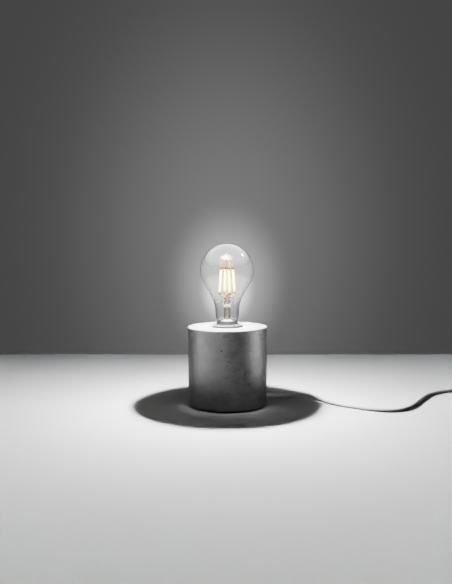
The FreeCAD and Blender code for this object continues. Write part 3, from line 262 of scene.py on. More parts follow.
# %% The concrete's finish
def concrete_finish():
    material, tree, shader, place = blank_finish("cast_concrete")
    patches = cloud(tree, place, 16.0, roughness=0.5, distortion=0.6)
    streaks = cloud(tree, stretched(tree, place, (48.0, 48.0, 7.0)), 1.0, 3.0, 0.6)
    mottle = cloud(tree, place, 110.0, 6.0, 0.62, 0.3)
    sand = cloud(tree, place, 1500.0, 2.0, 0.7)
    base = ramp(tree, patches, *PATCH_GREYS)
    base = mixed(tree, STREAK_SHARE, base, ramp(tree, streaks, *STREAK_GREYS))
    base = mixed(tree, MOTTLE_SHARE, base, ramp(tree, mottle, *MOTTLE_GREYS))
    base = mixed(tree, SAND_SHARE, base, ramp(tree, sand, *SAND_GREYS))
    base = mixed(tree, mould_marks(tree, place), base, MARK_GREY)
    # Painted shade: the block's foot is darkened, fading upwards
    base = mixed(tree, painted_foot_shade(tree, place, patches), base, FOOT_SHADE_GREY)
    large = pores(tree, place, 92.0, 0.10, 0.16)
    small = pores(tree, place, 330.0, 0.16, 0.34)
    # Painted shade: the pores and pinholes are coloured dark as the shade inside them
    base = mixed(tree, large, base, PORE_SHADE_GREY)
    base = mixed(tree, maths(tree, "MULTIPLY", small, PINHOLE_SHADE_SHARE), base, PINHOLE_SHADE_GREY)
    normal = bumped(tree, sand, 0.00012, bumped(tree, mottle, 0.00025))
    sunk = maths(tree, "SUBTRACT", 0.0, maths(tree, "ADD", large, small))
    feed(tree, shader, Base_Color=base, Roughness=spread(tree, mottle, 0.3, 0.7, 0.40, 0.58),
         Normal=bumped(tree, sunk, 0.0006, normal), Specular_IOR_Level=0.30)
    return material


def hole_shade_finish():
    """The inside of an air hole: darker as painted shade, rougher, and with a dusty mottle."""
    material, tree, shader, place = blank_finish("air_hole_painted_shade")
    dust = cloud(tree, place, 900.0, roughness=0.7)
    feed(tree, shader, Base_Color=ramp(tree, dust, (0.35, 0.05), (0.7, 0.13)), Roughness=0.95,
         Normal=bumped(tree, dust, 0.0003), Specular_IOR_Level=0.02)
    return material


concrete = concrete_finish()
# The second finish of the block paints the shade inside its air holes
pore = hole_shade_finish()
print("concrete finish has", len(concrete.node_tree.nodes), "nodes")

# %% [markdown]
# The metals
#
# Zinc, brass and nickel are metals, so their colour is the colour of their shine. They share one
# recipe with different numbers: two tones that smears blend, a roughness that the same smears
# change, and very fine scratches in the bump. The screws on the ring are duller than new nickel.
# The wires in the bulb are copper-toned, partly as painted reflection of the rods' warm light.

# %% The metals
SCRATCH_DEPTH = 0.00003


def metal_finish(name, dark, light, roughness):
    material, tree, shader, place = blank_finish(name)
    scratches = cloud(tree, place, 900.0, 3.0, 0.6)
    smears = cloud(tree, place, 60.0, 4.0, 0.6, 0.5)
    rough = spread(tree, smears, 0.3, 0.7, roughness * 0.75, roughness * 1.3)
    feed(tree, shader, Base_Color=mixed(tree, smears, dark, light), Metallic=1.0,
         Roughness=rough, Normal=bumped(tree, scratches, SCRATCH_DEPTH))
    return material


zinc_steel = metal_finish("zinc_plated_steel", (0.46, 0.47, 0.49), (0.66, 0.66, 0.66), 0.34)
brass = metal_finish("drawn_brass", (0.60, 0.43, 0.17), (0.80, 0.62, 0.30), 0.24)
nickel = metal_finish("nickel_plate", (0.55, 0.53, 0.50), (0.78, 0.76, 0.72), 0.18)
dull_nickel = metal_finish("dulled_screw_nickel", (0.20, 0.195, 0.19), (0.36, 0.355, 0.345), 0.42)
cap_metal = metal_finish("rolled_cap_metal", (0.58, 0.58, 0.57), (0.78, 0.78, 0.77), 0.28)
# Copper tone, partly painted reflection of the rods' warm light on the wires
copper_toned_wire = metal_finish("support_wire_copper_and_glow", (0.62, 0.20, 0.035), (0.92, 0.42, 0.10), 0.34)
burnt_tab = metal_finish("burnt_rod_tab", (0.10, 0.035, 0.012), (0.30, 0.13, 0.05), 0.4)
# Painted shade: the cap's skirt is near black, as the shade under the neck of the glass
dark_skirt = metal_finish("cap_skirt_painted_shade", (0.03, 0.03, 0.03), (0.09, 0.09, 0.088), 0.55)
print("metals:", zinc_steel.name, brass.name, nickel.name, cap_metal.name, copper_toned_wire.name)

# %% [markdown]
# Plastics, rubber and ceramics
#
# Moulded plastic has a faint grain like orange peel, rubber and woven band a coarser one, and
# glazed porcelain a slow ripple under a clear coat. So these share a second recipe: a slow change
# between two tones, and one grain for both the roughness and the bump.

# %% Plastics, rubber and ceramics
FINE_GRAIN = 0.00002


def moulded_finish(name, dark, light, roughness, grain_scale=1400.0, grain_depth=FINE_GRAIN,
                   coat=0.0):
    material, tree, shader, place = blank_finish(name)
    slow = cloud(tree, place, 45.0, 3.0)
    grain = cloud(tree, place, grain_scale, 2.0, 0.6)
    rough = spread(tree, grain, 0.3, 0.7, roughness * 0.85, roughness * 1.15)
    feed(tree, shader, Base_Color=mixed(tree, slow, dark, light), Roughness=rough,
         Normal=bumped(tree, grain, grain_depth), Coat_Weight=coat)
    return material


cord_sheath = moulded_finish("pale_cord_sheath", (0.60, 0.60, 0.60), (0.72, 0.72, 0.71), 0.42,
                             2200.0)
switch_plastic = moulded_finish("pale_switch_plastic", (0.68, 0.68, 0.67), (0.76, 0.76, 0.75),
                                0.34)
plug_plastic = moulded_finish("pale_plug_plastic", (0.66, 0.66, 0.65), (0.75, 0.75, 0.74), 0.45)
black_plastic = moulded_finish("black_clamp_plastic", (0.014, 0.014, 0.015), (0.03, 0.03, 0.031),
                               0.5)
tie_plastic = moulded_finish("dark_woven_tie", (0.018, 0.018, 0.02), (0.045, 0.045, 0.048), 0.8,
                             2600.0, 0.0002)
wire_brown = moulded_finish("brown_wire", (0.10, 0.035, 0.015), (0.15, 0.055, 0.025), 0.4)
wire_blue = moulded_finish("blue_wire", (0.012, 0.05, 0.20), (0.025, 0.09, 0.30), 0.4)
foot_rubber = moulded_finish("black_foot_rubber", (0.010, 0.010, 0.011), (0.022, 0.022, 0.023),
                             0.78, 900.0, 0.0002)
# Painted shade for the porcelain's outer side under its rim
ring_side_shade = moulded_finish("porcelain_side_painted_shade", (0.012, 0.012, 0.012), (0.03, 0.03, 0.029), 0.8,
                           700.0, 0.00008)
porcelain = moulded_finish("glazed_porcelain", (0.66, 0.66, 0.65), (0.74, 0.74, 0.72), 0.22,
                           260.0, 0.00004, coat=0.5)
cap_glass = moulded_finish("black_cap_glass", (0.012, 0.011, 0.014), (0.03, 0.026, 0.034), 0.12,
                           300.0, 0.00005)
driver_board = moulded_finish("driver_board", (0.60, 0.62, 0.56), (0.74, 0.75, 0.70), 0.4)
# Painted shade: the cement under the neck of the glass is near black
cement = moulded_finish("cap_cement_painted_shade", (0.035, 0.033, 0.03), (0.07, 0.066, 0.06), 0.8, 1200.0,
                        0.0003)
print("plastics and ceramics are ready")

# %% [markdown]
# Glass and glow
#
# Blown glass is clear, and what tells the eye that it is there is the bend of light at its rims
# and a slow ripple in its skin. A lit rod has two parts: a core so bright that it turns white in
# the picture, and a thin yellow coating round it that is only partly there, so that the core's
# edge looks soft and warm.

# %% Glass and glow
GLASS_IOR = 1.46
GLASS_RIPPLE = 0.00003
CHIPS_PER_METRE = 190.0


def glass_finish(name, tint, clearness, roughness=0.0):
    """Clear glass. What isn't clear in it is a faint haze that catches the light inside."""
    material, tree, shader, place = blank_finish(name)
    ripple = cloud(tree, place, 38.0, 2.0, 0.4)
    feed(tree, shader, Base_Color=tint, Roughness=roughness, Transmission_Weight=clearness,
         IOR=GLASS_IOR, Normal=bumped(tree, ripple, GLASS_RIPPLE))
    return material


def glow_finish(name, low, high, strength, cover=1.0):
    """A lit coating whose brightness changes along the rod, where the chips sit under it."""
    material, tree, shader, place = blank_finish(name)
    bands = add(tree, "ShaderNodeTexWave", {"Vector": place, "Scale": CHIPS_PER_METRE,
                                            "Distortion": 0.0}, bands_direction="Z")
    feed(tree, shader, Base_Color=high, Emission_Strength=strength, Roughness=0.6, Alpha=cover,
         Emission_Color=mixed(tree, bands.outputs["Fac"], low, high))
    return material


clear_glass = glass_finish("clear_bulb_glass", (1.0, 1.0, 1.0), 0.9992)
stem_glass = glass_finish("stem_glass", (0.99, 0.97, 0.86), 0.996, 0.02)
rod_core = glow_finish("lit_rod_core", (1.0, 0.96, 0.74), (1.0, 0.99, 0.86), 42.0)
rod_coat = glow_finish("lit_rod_coat", (1.0, 0.70, 0.03), (1.0, 0.80, 0.06), 2.4, 0.45)
print("glass and glow are ready")

# %% [markdown]
# Finishes on the CAD's own pieces
#
# Many pieces, such as the clamp, the terminals and the nut, are hidden inside the lamp or good
# enough as the CAD has them. They keep their CAD mesh and only get a finish, chosen by the
# material that the CAD names for each.

# %% Finishes laid on the CAD's pieces
SLOT_FINISHES = {
    "concrete": concrete, "foot_rubber": foot_rubber, "zinc_steel": zinc_steel, "brass": brass,
    "nickel": nickel, "porcelain": porcelain, "cord_sheath": cord_sheath,
    "wire_brown": wire_brown, "wire_blue": wire_blue, "black_plastic": black_plastic,
    "clear_glass": clear_glass, "stem_glass": stem_glass, "filament": rod_core,
    "driver_board": driver_board, "cap_metal": cap_metal, "cap_glass": cap_glass,
    "switch_plastic": switch_plastic, "plug_plastic": plug_plastic, "tie_plastic": tie_plastic,
}
for entry in frame["record"]["subparts"]:
    materials = nodes[entry["node"]].data.materials
    materials.clear()
    materials.append(SLOT_FINISHES[entry["material_slot"]])
print("finishes laid on", len(nodes), "CAD nodes")

# %% [markdown]
# The cord's route
#
# The cord leaves the block, rises a little over the sleeve, sinks to the table and runs off in
# loose bends. The rest is put away beyond the picture's edge: a switch, a wound coil with its
# tie, and the plug. A coil could be a plain spiral, but real cord is wound in half turns, each a
# little wider than the last, and climbs to a second layer at the middle. So its points are worked
# out half turn by half turn.

# %% The cord's routes
CORD_RADIUS = 2.5 * MM
ENTRY_TURN = math.radians(-8.0)
BLOCK_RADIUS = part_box("concrete_body")[1].x
ENTRY_DIRECTION = Vector((math.cos(ENTRY_TURN), math.sin(ENTRY_TURN), 0.0))
ENTRY_HEIGHT = 12.0 * MM
ENTRY_FACE = ENTRY_DIRECTION * BLOCK_RADIUS + Vector((0, 0, ENTRY_HEIGHT))
# Points of the cord's middle line, in millimetres
ROUTE_TO_SWITCH = (
    tuple(c / MM for c in ENTRY_FACE),
    (73.68, -10.355, 12.0), (95.6, 3.4, 12.0), (119.4, 1.6, 4.6), (139.4, -13.8, 2.5),
    (158.6, -30.4, 2.5), (181.0, -45.0, 2.5), (203.8, -48.8, 2.5), (224.4, -35.2, 2.5),
    (243.0, -1.6, 2.5), (262.6, 34.4, 2.5), (284.0, 52.8, 2.5), (303.4, 60.2, 3.0),
    (319.2, 62.0, 7.0), (335.6, 62.0, 7.0),
)
ROUTE_TO_COIL = (
    (390.4, 62.0, 7.0), (411.0, 62.0, 7.0), (433.0, 53.0, 4.4), (444.0, 34.0, 3.3),
    (444.0, 19.0, 3.3),
)
print("the cord leaves the block at", tuple(ENTRY_FACE))

# %% The coil's points
# The coil in millimetres: radius inside, spacing of the turns, its first step outwards, and the
# straight lengths where the cord comes in and goes out
COIL_INNER = 20.0
COIL_PITCH = 5.5
COIL_STEP = 0.8
COIL_LEAD = 5.0
COIL_TAIL = 20.0
TAIL_EASE = 1.0
HALF_TURNS_IN = 7
HALF_TURNS_OUT = 6
POINTS_PER_HALF_TURN = 9


def crossing(count):
    """How far from the coil's middle the cord crosses its axis, counted from the inside."""
    return COIL_INNER if count <= 0 else COIL_INNER + COIL_STEP + count * COIL_PITCH / 2


def between(count):
    """The same distance for a part of a half turn."""
    whole = math.floor(count)
    return crossing(whole) + (crossing(whole + 1) - crossing(whole)) * (count - whole)


def coil_reach(turned_by):
    """Radius and height after some half turns: in on the lower layer, up, out on the upper one."""
    if turned_by <= HALF_TURNS_IN:
        return between(HALF_TURNS_IN - turned_by), 0.0
    if turned_by <= HALF_TURNS_IN + 1:
        share = turned_by - HALF_TURNS_IN
        return crossing(0), COIL_PITCH * share * share * (3 - 2 * share)
    return between(turned_by - HALF_TURNS_IN - 1), COIL_PITCH


def coil_points():
    """Points of the wound length. A spline cuts its corners, so they lie a little outside it."""
    lift = 1 / math.cos(math.pi / POINTS_PER_HALF_TURN / 2)
    entry = Vector(ROUTE_TO_COIL[-1]) - Vector((0, COIL_LEAD, 0))
    middle = entry - Vector((crossing(HALF_TURNS_IN), 0, 0))
    points = []
    for step in range(1, (HALF_TURNS_IN + 1 + HALF_TURNS_OUT) * POINTS_PER_HALF_TURN):
        turned_by = step / POINTS_PER_HALF_TURN
        angle = -math.pi * turned_by
        radius, height = coil_reach(turned_by)
        out = Vector((math.cos(angle), math.sin(angle), 0)) * radius * lift
        points.append(middle + out + Vector((0, 0, height)))
    last = middle + Vector((crossing(HALF_TURNS_OUT), 0, COIL_PITCH))
    for forward in (TAIL_EASE, -COIL_TAIL / 2, -COIL_TAIL):
        points.append(last + Vector((0, forward, 0)))
    return points


COIL_POINTS = coil_points()
print("coil points:", len(COIL_POINTS))

# %% [markdown]
# Round lines
#
# A cord is made from its line first and its thickness second. Each stretch is one smooth NURBS
# spline over the points of its route, with a round bevel. A swept mesh would look the same, but
# a spline can still be measured and bent as a cord. The bulb's wires are made the same way later.

# %% The cord's splines
def round_line(name, routes, radius, finish, body, smoothness, sides):
    """One piece of smooth round lines, each through its own few points in metres."""
    curve = bpy.data.curves.new(name, "CURVE")
    curve.dimensions = "3D"
    for route in routes:
        spline = curve.splines.new("NURBS")
        spline.points.add(len(route) - 1)
        for point, place in zip(spline.points, route):
            point.co = (*place, 1.0)
        spline.order_u = 3
        spline.use_endpoint_u = True
    curve.resolution_u = smoothness
    curve.bevel_depth = radius
    curve.bevel_resolution = sides
    curve.use_fill_caps = True
    curve.materials.append(finish)
    piece = bpy.data.objects.new(name, curve)
    scene.collection.objects.link(piece)
    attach(piece, body)
    return piece


def cord_stretch(name, route):
    """A stretch of the cord along a route in millimetres."""
    places = [tuple(c * MM for c in place) for place in route]
    return round_line(name, [places], CORD_RADIUS, cord_sheath, "lamp",
                      smoothness=10, sides=5)


lamp_cord = cord_stretch("lamp_cord", ROUTE_TO_SWITCH)
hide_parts("cord_to_switch")
plug_cord = cord_stretch("plug_cord", ROUTE_TO_COIL + tuple(COIL_POINTS))
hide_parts("cord_to_coil", "cord_coil")
print("two cord splines made")

# %% [markdown]
# Modelling helpers
#
# Most pieces of a lamp are turned, so one helper spins an outline of radius and height about the
# upright axis, and another rounds the sharp rims with a bevel. Some are drawn instead: a flat
# outline is pushed out into a solid, or rings are bridged one after another. Holes and slots are
# cut with solids. The last helper finishes a piece: it writes the mesh, smooths it up to a crease
# angle, gives it its finish and its CAD body, and hides the CAD node that it stands for.

# %% Helpers for turned shapes
MERGE_REACH = 1e-7


def outline_at(points, radius=0.0, height=0.0):
    """An outline in metres from points in millimetres, counted from a radius and a height."""
    return [(radius + across * MM, height + up * MM) for across, up in points]


def arc(centre, radius, first, last, steps):
    """Points on an arc in the plane of radius and height, angles from the outward direction."""
    turns = [first + (last - first) * i / steps for i in range(steps + 1)]
    return [(centre[0] + radius * math.cos(turn), centre[1] + radius * math.sin(turn))
            for turn in turns]


def turned(outline, steps=128, closed=True):
    """A shell spun from points of radius and height, in metres."""
    shape = bmesh.new()
    points = [shape.verts.new((radius, 0.0, height)) for radius, height in outline]
    ring = points + points[:1] if closed else points
    edges = [shape.edges.new(pair) for pair in zip(ring, ring[1:])]
    bmesh.ops.spin(shape, geom=points + edges, cent=(0, 0, 0), axis=(0, 0, 1), dvec=(0, 0, 0),
                   angle=math.tau, steps=steps, use_merge=True)
    bmesh.ops.remove_doubles(shape, verts=shape.verts, dist=MERGE_REACH)
    bmesh.ops.recalc_face_normals(shape, faces=shape.faces)
    return shape


def soften(shape, radius, segments=3, least=0.6, where=None):
    """Rounds the edges whose faces meet at more than an angle."""
    edges = [e for e in shape.edges if len(e.link_faces) == 2 and e.calc_face_angle() > least
             and (where is None or where(e))]
    bmesh.ops.bevel(shape, geom=edges, offset=radius, offset_type="OFFSET", segments=segments,
                    profile=0.5, affect="EDGES", clamp_overlap=True, material=-1)
    return shape


def lay_along(shape, start, direction):
    """Turns a shape made on the upright axis so that it runs from a place along a direction."""
    aim = Vector(direction).to_track_quat("Z", "Y").to_matrix().to_4x4()
    bmesh.ops.transform(shape, matrix=Matrix.Translation(start) @ aim, verts=shape.verts)
    return shape


def turn_about(shape, angle, axis="Z"):
    """Turns a shape about one of the axes, through the origin."""
    bmesh.ops.rotate(shape, cent=(0, 0, 0), matrix=Matrix.Rotation(angle, 3, axis),
                     verts=shape.verts)
    return shape


def moved(shape, way):
    bmesh.ops.translate(shape, vec=way, verts=shape.verts)
    return shape


print("helpers for turned shapes are ready")


# %% Helpers for drawn shapes
def pushed_out(outline, way):
    """A flat outline, pushed out into a solid."""
    shape = bmesh.new()
    face = shape.faces.new([shape.verts.new(point) for point in outline])
    grown = bmesh.ops.extrude_face_region(shape, geom=[face])
    fresh = [v for v in grown["geom"] if isinstance(v, bmesh.types.BMVert)]
    bmesh.ops.translate(shape, vec=way, verts=fresh)
    bmesh.ops.recalc_face_normals(shape, faces=shape.faces)
    return shape


def drawn(rings):
    """A solid drawn from ring to ring and filled at both ends."""
    shape = bmesh.new()
    last = None
    for ring in rings:
        points = [shape.verts.new(point) for point in ring]
        loop = [shape.edges.new(pair) for pair in zip(points, points[1:] + points[:1])]
        if last:
            bmesh.ops.bridge_loops(shape, edges=last + loop)
        last = loop
    bmesh.ops.holes_fill(shape, edges=shape.edges[:], sides=0)
    bmesh.ops.recalc_face_normals(shape, faces=shape.faces)
    return shape


def round_bar(radius, length, steps=32):
    """A plain round bar on the upright axis, for cutting holes."""
    outline = [(0.0, 0.0), (radius, 0.0), (radius, length), (0.0, length)]
    return turned(outline, steps, closed=False)


def square_bar(size, middle):
    """A plain square bar, for cutting slots and openings."""
    shape = bmesh.new()
    bmesh.ops.create_cube(shape, size=1.0)
    bmesh.ops.scale(shape, vec=size, verts=shape.verts)
    return moved(shape, middle)


def rough_ball(radius, unevenness, grain, seed):
    """A small ball with an uneven skin."""
    ball = bmesh.new()
    bmesh.ops.create_icosphere(ball, subdivisions=2, radius=radius)
    for vertex in ball.verts:
        vertex.co *= 1 + unevenness * noise.noise(vertex.co * grain / radius + Vector(seed))
    return ball


def joined(forms):
    """Several shapes that don't touch, as one."""
    whole = bmesh.new()
    for form in forms:
        mesh = bpy.data.meshes.new("part")
        form.to_mesh(mesh)
        form.free()
        whole.from_mesh(mesh)
        bpy.data.meshes.remove(mesh)
    return whole


print("helpers for drawn shapes are ready")


# %% Helpers for cutting and finishing
def as_object(form, label, finishes):
    """A shape as an object of its own, with room for some finishes."""
    mesh = bpy.data.meshes.new(label)
    form.to_mesh(mesh)
    form.free()
    for finish in finishes:
        mesh.materials.append(finish)
    item = bpy.data.objects.new(label, mesh)
    scene.collection.objects.link(item)
    return item


def carved(shape, *cutters):
    """Cuts closed shapes out of another one, exactly, and returns what is left."""
    target = as_object(shape, "carving", (None, None))
    for count, cutter in enumerate(cutters):
        step = target.modifiers.new(f"cut_{count}", "BOOLEAN")
        step.operation = "DIFFERENCE"
        step.solver = "EXACT"
        step.object = as_object(cutter, f"cutter_{count}", (None, None))
    bpy.context.view_layer.update()
    depsgraph = bpy.context.evaluated_depsgraph_get()
    result = bpy.data.meshes.new_from_object(target.evaluated_get(depsgraph))
    left = bmesh.new()
    left.from_mesh(result)
    for item in [m.object for m in target.modifiers] + [target]:
        bpy.data.objects.remove(item)
    bpy.data.meshes.remove(result)
    return left


def finished(shape, name, finishes, body, replaced=(), crease=35.0):
    """The finished piece. It rides on its body and hides the nodes that it stands for."""
    for face in shape.faces:
        face.smooth = True
    finishes = finishes if isinstance(finishes, tuple) else (finishes,)
    piece = as_object(shape, name, finishes)
    piece.data.set_sharp_from_angle(angle=math.radians(crease))
    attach(piece, body)
    if replaced:
        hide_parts(*replaced)
    return piece


def walled(piece, thickness):
    """Gives a thin skin its wall, inwards from its outside."""
    wall = piece.modifiers.new("wall", "SOLIDIFY")
    wall.thickness = thickness
    wall.offset = -1.0
    return piece


print("helpers for cutting and finishing are ready")

# %% [markdown]
# The concrete block
#
# The block is one spun shell: outer face, bore for the lampholder, and the cavity under it. A
# sharp digital edge would give it away, so its rims get a small bevel, and the points near them
# are pushed in and down by noise, which makes the worn, slightly chipped arris of real concrete.
# The cord's hole and the larger air holes are cut as solids, so that they stay true up close.

# %% The block's outline and worn rims
BLOCK_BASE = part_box("concrete_body")[0].z
BLOCK_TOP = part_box("concrete_body")[1].z
HOLDER_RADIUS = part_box("holder_body")[1].x
HOLDER_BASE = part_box("holder_bracket")[0].z
BORE_RADIUS = HOLDER_RADIUS + 0.35 * MM
NIPPLE_HOLE = 5.3 * MM
WEB_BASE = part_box("web_washer")[1].z
CAVITY_RADIUS = 33.0 * MM
RECESS_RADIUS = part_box("base_plate")[1].x + 0.3 * MM
RECESS_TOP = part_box("base_plate")[1].z + 0.15 * MM
SIDE_RINGS = 24
ARRIS = 0.7 * MM
# How far from the rims the wear reaches up and in, and how it chips them
WEAR_HEIGHT = 1.6 * MM
WEAR_WIDTH = 2.0 * MM
CHIP_SCALES = (420.0, 1300.0)
CHIP_START = 0.08
CHIP_FALL = 1.4
CHIP_DEPTH = 1.65 * MM


def block_outline():
    rise = (BLOCK_TOP - BLOCK_BASE) / SIDE_RINGS
    side = [(BLOCK_RADIUS, BLOCK_BASE + rise * i) for i in range(SIDE_RINGS + 1)]
    return side + [
        ((BLOCK_RADIUS + BORE_RADIUS) / 2, BLOCK_TOP),
        (BORE_RADIUS, BLOCK_TOP),
        (BORE_RADIUS, HOLDER_BASE),
        (NIPPLE_HOLE, HOLDER_BASE),
        (NIPPLE_HOLE, WEB_BASE),
        (CAVITY_RADIUS, WEB_BASE),
        (CAVITY_RADIUS, RECESS_TOP),
        (RECESS_RADIUS, RECESS_TOP),
        (RECESS_RADIUS, BLOCK_BASE),
    ]


def is_block_rim(edge):
    """Level edges at the block's top and base, and at the mouth of its bore."""
    first, second = (vertex.co for vertex in edge.verts)
    at_end = first.z > BLOCK_TOP - MM or first.z < BLOCK_BASE + MM
    return at_end and abs(first.z - second.z) < 0.01 * MM and first.xy.length > BORE_RADIUS * 0.99


def wear(shape):
    """Chips the outer rims: points near them sink by noise, and never move outwards."""
    for vertex in shape.verts:
        radius = math.hypot(vertex.co.x, vertex.co.y)
        near_top = max(0.0, 1 - abs(vertex.co.z - BLOCK_TOP) / WEAR_HEIGHT)
        near_base = max(0.0, 1 - abs(vertex.co.z - BLOCK_BASE) / WEAR_HEIGHT)
        near_side = max(0.0, 1 - (BLOCK_RADIUS - radius) / WEAR_WIDTH)
        rim = near_side * max(near_top, near_base)
        if rim <= 0 or radius < RECESS_RADIUS:
            continue
        chip = sum(noise.noise(vertex.co * scale) for scale in CHIP_SCALES) / 2
        depth = max(0.0, chip - CHIP_START) ** CHIP_FALL * CHIP_DEPTH * rim
        vertex.co.x *= 1 - depth / radius
        vertex.co.y *= 1 - depth / radius
        vertex.co.z += depth if near_base > near_top else -depth


print("the block is", round((BLOCK_TOP - BLOCK_BASE) / MM, 1), "mm high")

# %% [markdown]
# The air holes
#
# Air that is caught against the mould leaves shallow holes with uneven rims. Those on the seen
# side are placed one by one, and a seeded draw spreads smaller ones over the rest. Each is cut by
# a small rough ball, pressed flat and set just into the face. The faces it cuts take a second,
# dark finish: painted shade inside the hole.

# %% The air holes and the block
# Turn round the block in degrees from the front, height and radius in millimetres
AIR_HOLES = (
    (24.1, 92.0, 1.0), (53.0, 93.5, 1.1), (-4.5, 93.2, 0.8), (1.3, 85.4, 0.7), (-8.0, 76.4, 1.2),
    (9.3, 70.3, 0.8), (1.2, 63.5, 0.9), (-0.7, 58.1, 1.0), (9.7, 51.4, 0.9), (24.4, 47.0, 1.3),
    (51.0, 42.4, 1.0), (30.6, 34.0, 1.4), (0.2, 23.5, 1.5), (44.2, 65.2, 0.8), (52.0, 13.5, 1.7),
    (-44.0, 77.0, 0.6), (-30.0, 88.0, 0.5), (15.0, 77.5, 0.6), (-15.0, 38.0, 0.6),
    (6.0, 40.0, 0.7),
)
DRAWN_HOLES = 40
HOLE_SEED = 7
HOLE_TURNS = (55, 305)
HOLE_HEIGHTS = (8, 94)
HOLE_RADII = (0.35, 0.9)
HOLE_SHAPE = (1.45, 0.6, 0.85)
HOLE_SUNK = 0.1
CORD_HOLE_RADIUS = 4.6 * MM
CORD_HOLE_DEPTH = 22.0 * MM
CORD_HOLE_LENGTH = 26.0 * MM


def air_hole(turn, height, radius):
    """A cutter for one hole: its turn in degrees, its height and radius in millimetres."""
    turn, height, radius = math.radians(turn), height * MM, radius * MM
    ball = rough_ball(radius, 0.35, 1.4, (turn, height, 0))
    bmesh.ops.scale(ball, vec=HOLE_SHAPE, verts=ball.verts)
    moved(ball, (0, -BLOCK_RADIUS + radius * HOLE_SUNK, height))
    turn_about(ball, turn)
    # The cut faces take the second finish, which paints the shade inside the hole
    for face in ball.faces:
        face.material_index = 1
    return ball


def make_block():
    shape = turned(block_outline(), 256)
    soften(shape, ARRIS, where=is_block_rim)
    wear(shape)
    dice = random.Random(HOLE_SEED)
    holes = [air_hole(*place) for place in AIR_HOLES]
    for _ in range(DRAWN_HOLES):
        place = [dice.uniform(*reach) for reach in (HOLE_TURNS, HOLE_HEIGHTS, HOLE_RADII)]
        holes.append(air_hole(*place))
    cord_hole = lay_along(round_bar(CORD_HOLE_RADIUS, CORD_HOLE_LENGTH),
                          ENTRY_FACE - ENTRY_DIRECTION * CORD_HOLE_DEPTH, ENTRY_DIRECTION)
    shape = carved(shape, cord_hole, joined(holes))
    return finished(shape, "concrete_block", (concrete, pore), "lamp", ["concrete_body"],
                    40.0)


block = make_block()
print("block has", len(block.data.polygons), "faces")

# %% [markdown]
# The lampholder
#
# Only a ring of glazed porcelain stands out of the block, but the bore below it is open to view
# when the bulb is out. The porcelain is a spun shell with soft rims. The faces that look outwards
# under the rim, on its foot and in the groove of its side, take a second, dark finish: painted
# shade, where the light from above doesn't reach.

# %% The porcelain
HOLDER_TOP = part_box("holder_body")[1].z
HOLDER_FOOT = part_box("holder_body")[0].z
HOLDER_FOOT_RADIUS = 18.4 * MM
STEP_HEIGHT = HOLDER_TOP - 24.0 * MM
GROOVE_LOW = BLOCK_TOP - 1.5 * MM
GROOVE_HIGH = BLOCK_TOP + 0.75 * MM
INNER_LIP_RADIUS = 15.1 * MM
INNER_LIP_TOP = HOLDER_TOP + 1.3 * MM
WELL_RADIUS = 14.15 * MM
WELL_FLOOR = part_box("screw_shell")[0].z
CHAMBER_RADIUS = 14.4 * MM
CHAMBER_TOP = WELL_FLOOR - 4.0 * MM
DRAFT = 0.1 * MM
GLAZE_ROUND = 0.35 * MM


def is_holder_rim(edge):
    return (edge.verts[0].co.xy.length > WELL_RADIUS * 0.99
            and all(vertex.co.z > HOLDER_TOP - MM for vertex in edge.verts))


def make_porcelain():
    shape = turned([
        (CHAMBER_RADIUS, HOLDER_FOOT),
        (HOLDER_FOOT_RADIUS, HOLDER_FOOT),
        (HOLDER_FOOT_RADIUS, STEP_HEIGHT),
        (HOLDER_RADIUS, STEP_HEIGHT),
        (HOLDER_RADIUS, GROOVE_LOW),
        (HOLDER_FOOT_RADIUS, GROOVE_LOW),
        (HOLDER_FOOT_RADIUS, GROOVE_HIGH),
        (HOLDER_RADIUS, GROOVE_HIGH + DRAFT),
        (HOLDER_RADIUS, HOLDER_TOP),
        (INNER_LIP_RADIUS, HOLDER_TOP),
        (INNER_LIP_RADIUS - DRAFT, INNER_LIP_TOP),
        (WELL_RADIUS, INNER_LIP_TOP),
        (WELL_RADIUS, WELL_FLOOR),
        (0.0, WELL_FLOOR),
        (0.0, CHAMBER_TOP),
        (CHAMBER_RADIUS, CHAMBER_TOP),
    ], 160)
    soften(shape, GLAZE_ROUND, 4, where=is_holder_rim)
    shape.normal_update()
    for face in shape.faces:
        centre = face.calc_center_median()
        outside = centre.xy.length > HOLDER_FOOT_RADIUS - 0.1 * MM
        below = centre.z < HOLDER_TOP - 0.05 * MM
        # Faces that look outwards under the rim take the painted shade finish
        face.material_index = 1 if outside and below and face.normal.z < 0.8 else 0
    return finished(shape, "porcelain_holder", (porcelain, ring_side_shade), "lamp", ["holder_body"],
                    40.0)


holder = make_porcelain()
print("holder has", len(holder.data.polygons), "faces")

# %% [markdown]
# The screws on the ring
#
# Two small screws hold the halves of the holder together. Their heads are domes, turned from a
# short outline, and the slot is cut with a bar. A slot that was only drawn in the finish would
# vanish as soon as the light came from the side.

# %% The screws on the ring
SCREW_CIRCLE = 16.75 * MM
SCREW_TURN = math.radians(-56.5)
SCREW_HEAD = 1.8 * MM
SCREW_DOME = 1.15 * MM
SCREW_SUNK = 0.3 * MM
SLOT_SIZE = (SCREW_HEAD * 3, 0.5 * MM, 0.9 * MM)
SLOT_TURN = 0.7
# Shares of the head's radius and of the dome's height
DOME_SHARES = ((1.0, 0.35), (0.88, 0.7), (0.5, 0.95), (0.0, 1.0))


